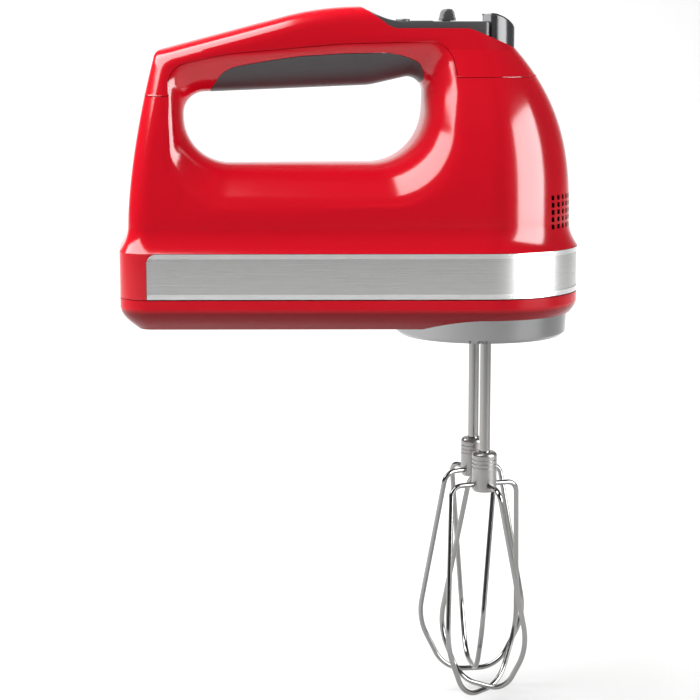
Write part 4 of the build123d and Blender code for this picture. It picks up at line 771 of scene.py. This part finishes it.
def carve(piece, points, faces, shade, folded=False):
    """Cuts solids out of a piece for good and paints the cut faces with the given material, which every
    caller makes dark as painted shade.

    Folded is for a piece that meets itself. A gap of up to eight edges, as a tongue leaves at its end, is
    filled after the cut.
    """
    mesh = bpy.data.meshes.new("cutter")
    mesh.from_pydata(place(points).tolist(), [], faces)
    mesh.materials.append(shade)
    cutter = bpy.data.objects.new("cutter", mesh)
    bpy.context.scene.collection.objects.link(cutter)
    cut = piece.modifiers.new("cut", "BOOLEAN")
    cut.operation = "DIFFERENCE"
    cut.solver = "EXACT"
    cut.material_mode = "TRANSFER"
    cut.use_self = folded
    cut.object = cutter
    bpy.context.view_layer.update()
    graph = bpy.context.evaluated_depsgraph_get()
    result = bpy.data.meshes.new_from_object(piece.evaluated_get(graph))
    shape = bmesh.new()
    shape.from_mesh(result)
    bmesh.ops.holes_fill(shape, edges=shape.edges[:], sides=8)
    shape.to_mesh(result)
    shape.free()
    piece.modifiers.clear()
    old = piece.data
    piece.data = result
    result.name = old.name
    bpy.data.meshes.remove(old)
    bpy.data.objects.remove(cutter)
    bpy.data.meshes.remove(mesh)
    result.set_sharp_from_angle(angle=math.radians(32.0))


class MIXER_OT_housing(bpy.types.Operator):
    """Flared main housing with its hand opening, waist, skirt and air slots"""

    bl_idname = "mixer.housing"
    bl_label = "Main housing"

    def execute(self, context):
        settings = context.scene.mixer.shell
        body = BodyLines(settings)
        every = np.arange(len(body.owner))
        edge = grip_edge(body)
        rows = np.linspace(0.0, 1.0, 29)[:, None]
        power = 1.0 + 1.2 * (1 - np.clip(edge / 0.2, 0.0, 1.0))
        seat = edge + np.where(edge > 0, GRIP_SEAT, 0.0)
        inner = body.inner(seat + (1 - seat) * rows**power, every)
        shell = Skin()
        shell.add(inner)
        shell.close(inner[0])
        covered = body.pick(COVER_STATIONS)
        shell.close(inner[-1][covered], TONGUE)
        lower = body.pick(LOWER_STATIONS)
        outer = body.outer(smooth_share(46)[:, None], lower)
        shell.add(outer)
        shell.close(outer[:, 0], TONGUE)
        shell.close(outer[:, -1], TONGUE)
        shell.close(outer[-1][np.isin(body.owner[lower], HEEL_STATIONS)])
        self.skirt(shell, outer[-1], body.owner[lower])
        piece = shell.piece("main_housing_skin", "body", "shell_red", ("main_housing",), 32.0)
        linked(shell_finish(settings), piece)
        # painted shade: the faces cut by the air slots get a near-black colour for the shade inside the
        # holes
        shade = finish("slot painted shade", (0.02, 0.001, 0.002), (0.03, 0.002, 0.003), 0.5)
        carve(piece, *box_solids(air_slots()), shade)
        return {"FINISHED"}

    def skirt(self, shell, edge, owner):
        """Skirt below the waist: a recess for the band steps in along the plan's own normal."""
        below = np.isin(owner, SKIRT_STATIONS)
        line = edge[below]
        recessed = np.isin(owner[below], RECESS_STATIONS)
        fresh = (np.abs(np.diff(line, axis=0)).sum(1) > 1e-6) | (np.diff(recessed.astype(int)) != 0)
        fresh = np.concatenate([[True], fresh])
        line = line[fresh]
        recessed = recessed[fresh]
        along = np.gradient(line[:, :2], axis=0)
        along[recessed] = np.gradient(line[recessed][:, :2], axis=0)
        normal = np.stack([along[:, 1], -along[:, 0]], axis=-1)
        normal = normal / np.maximum(np.linalg.norm(normal, axis=1), 1e-9)[:, None]
        tip = (line[:, 1] < 0.8) & (line[:, 0] > 0)
        normal[tip] = (1.0, 0.0)
        depth = np.where(recessed, RECESS_DEPTH, 0.0)[:, None]
        near = np.clip((RECESS_BACK + RECESS_BEND - line[:, 0]) / RECESS_BEND, 0.0, 1.0)
        drop = RECESS_BEND * (1 - np.sqrt(1 - near**2)) * recessed
        ledge = line - np.stack([0 * drop, 0 * drop, drop], axis=-1)
        outward = (normal * (line[:, :2] - (-60.0, 0.0))).sum(1) > 0
        step = ledge.copy()
        step[:, :2] += depth * normal * np.where(outward, -1, 1)[:, None]
        step[tip & (line[:, 1] < 1e-6), 1] = 0.0
        foot = step.copy()
        foot[:, 2] = SKIRT_BASE
        shell.add(np.stack([line, ledge, step, foot, foot * (1.0, 0.0, 1.0)]))
        heel = np.stack([line[-1], foot[-1]])
        shell.add(np.stack([heel, heel * (1.0, 0.0, 1.0)]))


class MIXER_OT_cover(bpy.types.Operator):
    """Crowned top cover with the climb, the peak, the control deck and the brow"""

    bl_idname = "mixer.cover"
    bl_label = "Top cover"

    def execute(self, context):
        settings = context.scene.mixer.shell
        body = BodyLines(settings)
        lines = body.pick(COVER_STATIONS)
        outer = body.outer(smooth_share(46)[:, None], lines, settings.seam_gap)
        outer[:, 0, 2] += settings.seam_gap
        outer[:, -1, 2] += settings.seam_gap
        cover = Skin()
        cover.add(outer)
        cover.close(outer[0])
        cover.close(outer[-1])
        cover.close(outer[:, 0])
        cover.close(outer[:, -1])
        piece = cover.piece("top_cover_skin", "body", "shell_red", ("top_cover",), 32.0)
        linked(shell_finish(settings), piece)
        # painted shade: the walls of the ejector's well get a near-black colour for the shade inside it
        shade = finish("well painted shade", (0.03, 0.001, 0.003), (0.04, 0.002, 0.004), 0.5)
        carve(piece, *ejector_well(), shade, folded=True)
        return {"FINISHED"}


class MIXER_OT_grip(bpy.types.Operator):
    """Soft grip that lines the underside of the handle"""

    bl_idname = "mixer.grip"
    bl_label = "Soft grip"

    def execute(self, context):
        settings = context.scene.mixer.shell
        body = BodyLines(settings)
        lines = body.pick(GRIP_STATIONS)
        edge = grip_edge(body)[lines]
        rows = np.linspace(0.0, 1.0, 25)[:, None]
        inner = body.inner(edge * rows**2.2, lines)
        grip = Skin()
        grip.add(inner)
        grip.close(inner[-1])
        grip.close(inner[:, 0])
        grip.close(inner[:, -1])
        piece = grip.piece("soft_grip_skin", "body", "grip_rubber", ("soft_grip",), 40.0)
        rubber = finish("soft grip rubber", tuple(settings.grip_colour), (0.045, 0.044, 0.047), 0.42,
                        grain=(1800.0,) * 3, bump=0.25)
        linked(rubber, piece)
        return {"FINISHED"}


def inward(outline):
    """Unit normals towards the inside of a closed plan outline that runs counter-clockwise."""
    along = np.roll(outline, -1, axis=0) - np.roll(outline, 1, axis=0)
    normal = np.stack([-along[:, 1], along[:, 0]], axis=-1)
    return normal / np.linalg.norm(normal, axis=1)[:, None]


def plinth(corners, bends, height, base, edge):
    """Rings of a block on a rounded plan: foot, wall, quarter-round edge, and a lid at height(x).

    Each ring is the plan drawn in along its normals, and the lid's rings shrink to the plan's middle.
    """
    outline = Loop(rounded(corners, bends)).points[:-1:30]
    middle = 0.5 * (outline.min(axis=0) + outline.max(axis=0))
    turn = np.linspace(0.0, math.pi / 2, 9)[:, None]
    wall = outline + (edge * (1 - np.cos(turn)))[..., None] * inward(outline)
    wall = np.concatenate([wall, (height(wall[..., 0]) - edge * (1 - np.sin(turn)))[..., None]], axis=-1)
    share = np.linspace(1.0, 0.0, 17)[1:, None, None]
    lid = middle + share * (wall[-1, :, :2] - middle)
    lid = np.concatenate([lid, height(lid[..., 0])[..., None]], axis=-1)
    foot = np.stack([0 * outline + middle, outline])
    foot = np.concatenate([foot, base + 0 * foot[..., :1]], axis=-1)
    return np.concatenate([foot, wall, lid])


def ring_quads(rows, columns):
    """Faces between rows of closed rings."""
    index = np.arange(rows * columns).reshape(rows, columns)
    after = np.roll(index, -1, axis=1)
    return np.stack([index[:-1], after[:-1], after[1:], index[1:]], axis=-1).reshape(-1, 4)


def ring_piece(name, rings, body, replaces, sharp):
    """Mesh piece from rows of closed rings."""
    return weld(name, rings.reshape(-1, 3), ring_quads(*rings.shape[:2]), body, replaces, sharp)


def panel_top(x):
    """Height of the panel: level in front, then a parabola up the slope behind."""
    return PANEL_Z + 0.021 * np.clip(PANEL_SWEEP - x, 0.0, None) ** 2


class MIXER_OT_panel(bpy.types.Operator):
    """Control panel that sweeps up at its rear, with seats for the window, the buttons and the switch"""

    bl_idname = "mixer.panel"
    bl_label = "Control panel"

    def execute(self, context):
        settings = context.scene.mixer.shell
        corners = rectangle(PANEL_BACK, PANEL_FRONT, PANEL_HALF)
        rings = plinth(corners, (7.0, 2.0, 2.0, 7.0), panel_top, DECK_Z - 3.0, 0.7)
        piece = ring_piece("control_panel_skin", rings, "body", ("control_panel",), 35.0)
        plastic = finish("panel plastic", tuple(settings.control_colour), (0.06, 0.06, 0.063), 0.36,
                         grain=(2600.0,) * 3, bump=0.25)
        linked(plastic, piece)
        # painted shade: the faces cut for the window, switch and button seats get a colour darker than the
        # panel for the shade in these recesses
        shade = finish("panel seat painted shade", (0.012, 0.012, 0.013), (0.02, 0.02, 0.021), 0.5)
        centres = ((WINDOW_X, 0.0, PANEL_Z + 1.0), (SLIDE_X, 0.0, PANEL_Z))
        seats = box_corners(centres, ((4.8, 6.2, 2.0), (4.95, 2.35, 6.0)), np.zeros(2))
        carve(piece, *box_solids(seats), shade)
        buttons = ((BUTTON_X, -BUTTON_Y), (BUTTON_X, BUTTON_Y))
        carve(piece, *well_solids(buttons, BUTTON_WELL, DECK_Z - 0.6, PANEL_Z + 4.0), shade)
        return {"FINISHED"}


class MIXER_OT_ejector(bpy.types.Operator):
    """Round-fronted ejector button with a falling top and a lip behind"""

    bl_idname = "mixer.ejector"
    bl_label = "Ejector button"

    def execute(self, context):
        corners = rectangle(EJECTOR_BACK, EJECTOR_FRONT, EJECTOR_HALF)
        rings = plinth(corners, (2.2, 11.8, 11.8, 2.2), self.top, EJECTOR_BASE, 1.1)
        rear = np.clip((4.0 - rings[..., 0]) / 2.3, 0.0, 1.0)
        rise = np.clip((rings[..., 2] - self.top(rings[..., 0]) + 2.6) / 2.6, 0.0, 1.0)
        rings[..., 0] -= 0.25 * rear * rise**2
        piece = ring_piece(
            "ejector_button_skin", rings, "ejector", ("ejector_button",), 40.0
        )
        plastic = finish("ejector plastic", (0.028, 0.028, 0.031), (0.04, 0.04, 0.043), 0.2,
                         grain=(2600.0,) * 3, bump=0.06, extra={"Specular IOR Level": 0.5})
        linked(plastic, piece)
        return {"FINISHED"}

    def top(self, x):
        """Height of the top: a parabola that falls towards the front."""
        return EJECTOR_Z - 0.035 * (x - 1.0) ** 2


class MIXER_OT_switch(bpy.types.Operator):
    """Sliding power switch: a ridged arch across the panel, a foot and a stem"""

    bl_idname = "mixer.switch"
    bl_label = "Power switch"

    def execute(self, context):
        rings = self.arch()
        quads = ring_quads(*rings.shape[:2])
        stem, sides = box_solids(
            box_corners(((STEM_X, 0.0, SWITCH_Z - 4.2),), (1.6, 2.0, 4.8), np.zeros(1))
        )
        points = np.concatenate([rings.reshape(-1, 3), stem])
        quads = np.concatenate([quads, np.array(sides) + rings.size // 3])
        piece = weld(
            "power_switch_skin", points, quads, "power_switch", ("power_switch_knob",), 35.0
        )
        plastic = finish("switch plastic", (0.034, 0.034, 0.036), (0.062, 0.062, 0.064), 0.32,
                         grain=(1500.0,) * 3, mottle=0.7, bump=0.5)
        linked(plastic, piece)
        return {"FINISHED"}

    def arch(self):
        """Rings of the knob: a half superellipse with a foot and fine ridges, carried across the panel.

        Towards both ends the profile draws in over a quarter-round edge, then fans in to its middle.
        """
        turn = np.linspace(math.pi, 0.0, 121)
        height = SWITCH_RISE * np.sin(turn) ** 0.8
        foot = 0.3 * (1 - np.clip((height - 1.1) / 0.4, 0.0, 1.0))
        reach = SWITCH_REACH * np.sign(np.cos(turn)) * np.abs(np.cos(turn)) ** 0.62
        reach = reach + np.sign(reach) * foot
        height = height + 0.07 * np.sin(2 * math.pi * reach / 1.1) * (height > 3.0)
        bend = np.linspace(0.0, math.pi / 2, 7)
        end = [SWITCH_HALF] * 5
        flat = SWITCH_HALF - SWITCH_EDGE
        across = np.concatenate([
            np.negative(end), -flat - SWITCH_EDGE * np.cos(bend), flat + SWITCH_EDGE * np.sin(bend), end
        ])
        drawn = SWITCH_EDGE * (1 - np.sin(bend))
        drawn = np.concatenate([[SWITCH_EDGE] * 5, drawn, drawn[::-1], [SWITCH_EDGE] * 5])
        fan = np.concatenate([np.linspace(0.0, 1.0, 6)[:5], np.ones(14), np.linspace(1.0, 0.0, 6)[1:]])
        x = SWITCH_X + fan[:, None] * reach * (1 - drawn / SWITCH_REACH)[:, None]
        z = SWITCH_Z + fan[:, None] * height * (1 - drawn / SWITCH_RISE)[:, None]
        return np.stack([x, np.broadcast_to(across[:, None], x.shape), z], axis=-1)


class MIXER_OT_spring(bpy.types.Operator):
    """Return spring of the ejector, which shortens as the ejector goes down"""

    bl_idname = "mixer.spring"
    bl_label = "Ejector spring"

    def execute(self, context):
        rings = self.coil()
        piece = ring_piece("ejector_spring_coil", rings, "body", ("ejector_spring",), 60.0)
        linked(finish("spring wire", (0.55, 0.55, 0.56), (0.45, 0.45, 0.46), 0.25, metal=1.0), piece)
        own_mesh(piece)
        return {"FINISHED"}

    def coil(self):
        """Rings of round wire carried along a helix, with a point at each end."""
        share = np.linspace(0.0, 1.0, SPRING_TURNS * 28 + 1)
        share = np.concatenate([share[:1], share, share[-1:]])[:, None]
        thick = np.full(share.shape, SPRING_WIRE)
        thick[[0, -1]] = 0.0
        turn = 2 * math.pi * SPRING_TURNS * share
        ring = 2 * math.pi * np.arange(10) / 10
        reach = SPRING_MEAN + thick * np.cos(ring)
        climb = SPRING_HIGH - SPRING_LOW - 2 * SPRING_WIRE
        rise = SPRING_LOW + SPRING_WIRE + climb * share + thick * np.sin(ring)
        return np.stack([reach * np.cos(turn), reach * np.sin(turn), rise], axis=-1)


def shell_finish(settings):
    """Glossy moulded shell: deep colour under a clear polished surface."""
    found = bpy.data.materials.get("glossy shell")
    if found:
        return found
    colour = tuple(settings.shell_colour)
    shade = tuple(0.86 * value for value in colour)
    return finish("glossy shell", colour, shade, 0.14, grain=(260.0,) * 3, swing=0.04, bump=0.02,
                  extra={"Specular IOR Level": 0.5})


def band_finish():
    """Band of brushed steel between two polished edges, told apart by their height."""
    material, field, spot = blank("brushed band")
    height = field.node("ShaderNodeSeparateXYZ", None, {"Vector": spot}, out="Z")
    middle = float(place((0.0, 0.0, 0.5 * (SKIRT_BASE + SKIRT_TOP)))[2])
    reach = 0.5 * (SKIRT_TOP - SKIRT_BASE) * MM - 0.0023
    off = field.node("ShaderNodeMath", {"operation": "ABSOLUTE"}, {0: height - middle})
    edge = field.node(
        "ShaderNodeMapRange", None, {"Value": off, "From Min": reach - 0.00008, "From Max": reach + 0.00008}
    )
    stretched = field.node("ShaderNodeMapping", None, {"Vector": spot, "Scale": (26.0, 26.0, 5200.0)})
    lines = field.node("ShaderNodeTexNoise", None, {"Vector": stretched, "Scale": 1.0, "Detail": 5.0})
    brushed = (lines * 0.5 + 0.45) * (1 - edge)
    base = field.node(
        "ShaderNodeMix", {"data_type": "RGBA"},
        {"Factor": brushed, 6: (0.97, 0.967, 0.963, 1.0), 7: (0.50, 0.497, 0.493, 1.0)}, out=2,
    )
    rough = (lines * 0.2 + 0.2) * (1 - edge) + edge * 0.26
    grooves = lines * (1 - edge)
    bump = field.node(
        "ShaderNodeBump", None, {"Strength": 0.12, "Distance": 0.0001, "Height": grooves}, out="Normal"
    )
    surface = field.node(
        "ShaderNodeBsdfPrincipled", None,
        {"Base Color": base, "Roughness": rough, "Metallic": 1.0, "Normal": bump},
    )
    field.node("ShaderNodeOutputMaterial", None, {"Surface": surface})
    return material


def pan_with_painted_shade(colour):
    """Pan: the shell's colour on its upper bead, and below it a darker tone with the same gloss, painted
    shade for the underside that faces down.
    """
    material, field, spot = blank("pan shell with painted shade")
    height = field.node("ShaderNodeSeparateXYZ", None, {"Vector": spot}, out="Z")
    bead = float(place((0.0, 0.0, PAN_BEAD))[2])
    upper = field.node(
        "ShaderNodeMapRange", None, {"Value": height, "From Min": bead - 0.001, "From Max": bead + 0.001}
    )
    fine = field.node("ShaderNodeTexNoise", None, {"Vector": spot, "Scale": 260.0, "Detail": 3.0})
    # painted shade: below the bead the pan's colour is darkened to stand in for the shade on its
    # downward-facing underside
    deep = tuple(0.36 * value for value in colour)
    base = field.node(
        "ShaderNodeMix", {"data_type": "RGBA"},
        {"Factor": upper * (fine * 0.1 + 0.92), 6: (*deep, 1.0), 7: (*colour, 1.0)}, out=2,
    )
    bump = field.node(
        "ShaderNodeBump", None, {"Strength": 0.02, "Distance": 0.0002, "Height": fine}, out="Normal"
    )
    surface = field.node(
        "ShaderNodeBsdfPrincipled", None,
        {"Base Color": base, "Roughness": fine * 0.05 + 0.14, "Normal": bump, "Specular IOR Level": 0.2},
    )
    field.node("ShaderNodeOutputMaterial", None, {"Surface": surface})
    return material


class MIXER_OT_plain_nodes(bpy.types.Operator):
    """Finishes for every piece that keeps its own solid"""

    bl_idname = "mixer.plain_nodes"
    bl_label = "Carried pieces"

    def execute(self, context):
        settings = context.scene.mixer.shell
        control = tuple(settings.control_colour)
        dark = finish("moulded controls", control, (0.10, 0.10, 0.105), 0.38, grain=(2600.0,) * 3, bump=0.3)
        dress(dark, "cord_inlet", "switch_body", "terminal_block", "brush_holders")
        dress(finish("display glass", (0.01, 0.01, 0.012), (0.02, 0.02, 0.022), 0.08, coat=0.5),
              "display_window")
        dress(finish("button cap", (0.09, 0.09, 0.095), (0.12, 0.12, 0.125), 0.3, bump=0.2),
              "speed_up_button", "speed_down_button")
        dress(pan_with_painted_shade(tuple(settings.shell_colour)), "bottom_pan")
        dress(band_finish(), "trim_band")
        dress(finish("bright ring", (0.26, 0.26, 0.262), (0.22, 0.22, 0.222), 0.07, metal=1.0), "nose_ring")
        steel = finish("beater steel", (0.27, 0.267, 0.263), (0.22, 0.217, 0.214), 0.14, metal=1.0,
                       grain=(900.0, 900.0, 60.0), swing=0.1)
        dress(steel, "beater_left_shank", "beater_left_loops", "beater_right_shank", "beater_right_loops")
        collar = finish("beater collar", (0.30, 0.295, 0.29), (0.22, 0.216, 0.212), 0.3, metal=0.9,
                        bump=0.1)
        dress(collar, "beater_left_collar", "beater_right_collar")
        self.inside()
        return {"FINISHED"}

    def inside(self):
        """Finishes of the drive that the shells hide."""
        dress(finish("screw steel", (0.45, 0.45, 0.46), (0.36, 0.36, 0.37), 0.3, metal=1.0),
              "pan_screws", "gearbox_screws")
        dress(finish("ground shaft", (0.62, 0.62, 0.63), (0.5, 0.5, 0.51), 0.2, metal=1.0),
              "worm_shaft", "spindle_left", "spindle_right")
        dress(finish("laminated core", (0.24, 0.24, 0.25), (0.15, 0.15, 0.16), 0.4, metal=0.9,
                     grain=(2000.0, 40.0, 40.0), swing=0.2, bump=0.3), "stator_core", "armature_core")
        dress(finish("wound copper", (0.60, 0.24, 0.09), (0.40, 0.13, 0.05), 0.35, metal=0.8,
                     grain=(300.0, 2400.0, 2400.0), swing=0.2, bump=0.5), "field_coils", "armature_windings")
        dress(finish("commutator copper", (0.66, 0.30, 0.13), (0.45, 0.2, 0.09), 0.3, metal=1.0,
                     grain=(60.0, 900.0, 900.0)), "commutator")
        dress(finish("bearing bronze", (0.45, 0.30, 0.13), (0.36, 0.22, 0.1), 0.4, metal=0.9),
              "port_bushes", "spindle_bushes", "motor_bearings")
        dress(finish("gear nylon", (0.72, 0.70, 0.62), (0.62, 0.6, 0.52), 0.45, bump=0.1),
              "drive_gear_left", "drive_gear_right")
        dress(finish("frame plastic", (0.09, 0.09, 0.095), (0.06, 0.06, 0.065), 0.5, bump=0.2),
              "gearbox_base", "gearbox_cover", "rear_bracket", "cooling_fan", "ejector_yoke")
        dress(finish("board laminate", (0.03, 0.16, 0.07), (0.02, 0.1, 0.05), 0.4, bump=0.2),
              "circuit_board")
        dress(finish("brush carbon", (0.02, 0.02, 0.02), (0.04, 0.04, 0.04), 0.6, bump=0.4),
              "carbon_brushes")


def softbox(name, spot, target, width, height, power):
    """Flat rectangular light that faces a target."""
    lamp = bpy.data.lights.new(name, "AREA")
    lamp.shape = "RECTANGLE"
    lamp.size = width
    lamp.size_y = height
    lamp.energy = power
    holder = bpy.data.objects.new(name, lamp)
    holder.location = spot
    holder.rotation_euler = (Vector(target) - Vector(spot)).to_track_quat("-Z", "Y").to_euler()
    bpy.context.scene.collection.objects.link(holder)
    return holder


class MIXER_OT_stage(bpy.types.Operator):
    """Pale floor that turns up behind, soft studio lights and the camera"""

    bl_idname = "mixer.stage"
    bl_label = "Stage"

    def execute(self, context):
        settings = context.scene.mixer.stage
        self.sweep()
        self.lights(settings)
        self.camera(settings)
        return {"FINISHED"}

    def sweep(self):
        """Sheet with a flat floor, a quarter-circle rise and a wall, the same all along its width."""
        low = CAD_BOX[0][2] - FLOOR_DROP
        turn = np.linspace(0.0, math.pi / 2, 40)
        reach = np.concatenate([[-4.0], 2.0 + FLOOR_BEND * np.sin(turn), [2.0 + FLOOR_BEND]])
        rise = np.concatenate([[0.0], FLOOR_BEND * (1 - np.cos(turn)), [6.0]])
        across = np.linspace(-6.0, 6.0, 9)
        x, y = np.meshgrid(across, reach, indexing="ij")
        z = np.broadcast_to(low + rise, y.shape)
        points = np.stack([x, y, z], axis=-1).reshape(-1, 3)
        index = np.arange(len(points)).reshape(x.shape)
        mesh = bpy.data.meshes.new("floor")
        mesh.from_pydata(points.tolist(), [], grid_quads(index).tolist())
        mesh.shade_smooth()
        floor = bpy.data.objects.new("floor", mesh)
        bpy.context.scene.collection.objects.link(floor)
        linked(finish("pale floor", (0.53, 0.53, 0.53), (0.51, 0.51, 0.51), 0.7), floor)

    def lights(self, settings):
        """Even room light, a key over the heel, two lights at the nose and a wash on the floor each way.

        One nose light shows only in the gloss and the other only in the colour, and so do the washes.
        """
        world = bpy.data.worlds.new("room")
        world.use_nodes = True
        room = world.node_tree.nodes["Background"]
        room.inputs["Color"].default_value = (1.0, 1.0, 1.0, 1.0)
        room.inputs["Strength"].default_value = settings.room_light
        bpy.context.scene.world = world
        softbox("key", (-0.85, 0.0, 1.05), LIGHT_TARGET, 1.5, 1.5, settings.key_power)
        gloss = softbox("nose box", NOSE_LIGHT_SPOT, LIGHT_TARGET, 0.7, 0.7, settings.nose_power)
        gloss.visible_diffuse = False
        for light in (
            softbox("nose fill", NOSE_LIGHT_SPOT, LIGHT_TARGET, 0.7, 0.7, settings.fill_power),
            softbox("front wash", (-0.1, -1.05, 0.75), (-0.1, -1.06, -0.3), 0.8, 0.5, settings.front_power),
            softbox("back wash", (0.0, 1.7, 1.6), (0.0, 1.9, -0.3), 3.0, 0.8, settings.wall_power),
        ):
            light.visible_glossy = False

    def camera(self, settings):
        """Camera turned a little towards the rear and raised above the mixer's middle."""
        level = math.cos(CAMERA_RAISE)
        aside = math.sin(CAMERA_TURN) * level
        away = Vector((aside, -math.cos(CAMERA_TURN) * level, math.sin(CAMERA_RAISE)))
        target = Vector(CAMERA_TARGET)
        lens = bpy.data.cameras.new("camera")
        lens.sensor_width = CAMERA_SENSOR
        lens.lens = CAMERA_LENS
        holder = bpy.data.objects.new("camera", lens)
        holder.location = target + away * settings.camera_distance
        holder.rotation_euler = (-away).to_track_quat("-Z", "Y").to_euler()
        bpy.context.scene.collection.objects.link(holder)
        bpy.context.scene.camera = holder
        bpy.context.scene.view_settings.view_transform = "Standard"


STEPS = (
    MIXER_OT_plain_nodes,
    MIXER_OT_housing,
    MIXER_OT_cover,
    MIXER_OT_grip,
    MIXER_OT_panel,
    MIXER_OT_switch,
    MIXER_OT_ejector,
    MIXER_OT_spring,
    MIXER_OT_stage,
)


class MIXER_PT_panel(bpy.types.Panel):
    """Lists the pieces and their settings"""

    bl_idname = "MIXER_PT_panel"
    bl_label = "Hand mixer"
    bl_space_type = "VIEW_3D"
    bl_region_type = "UI"
    bl_category = "Mixer"

    def draw(self, context):
        for step in STEPS:
            self.layout.operator(step.bl_idname)
        for group in (context.scene.mixer.shell, context.scene.mixer.stage):
            for name in group.__annotations__:
                self.layout.prop(group, name)


CLASSES = (MixerShellSettings, MixerStageSettings, MixerSettings, *STEPS, MIXER_PT_panel)


def register():
    """Adds the classes and the scene's settings."""
    for item in CLASSES:
        bpy.utils.register_class(item)
    bpy.types.Scene.mixer = PointerProperty(type=MixerSettings)


def unregister():
    """Takes the settings and the classes away again."""
    del bpy.types.Scene.mixer
    for item in reversed(CLASSES):
        bpy.utils.unregister_class(item)


def main():
    """Builds every piece and the stage."""
    register()
    for step in STEPS:
        family, name = step.bl_idname.split(".")
        getattr(getattr(bpy.ops, family), name)()


if __name__ == "__main__":
    main()
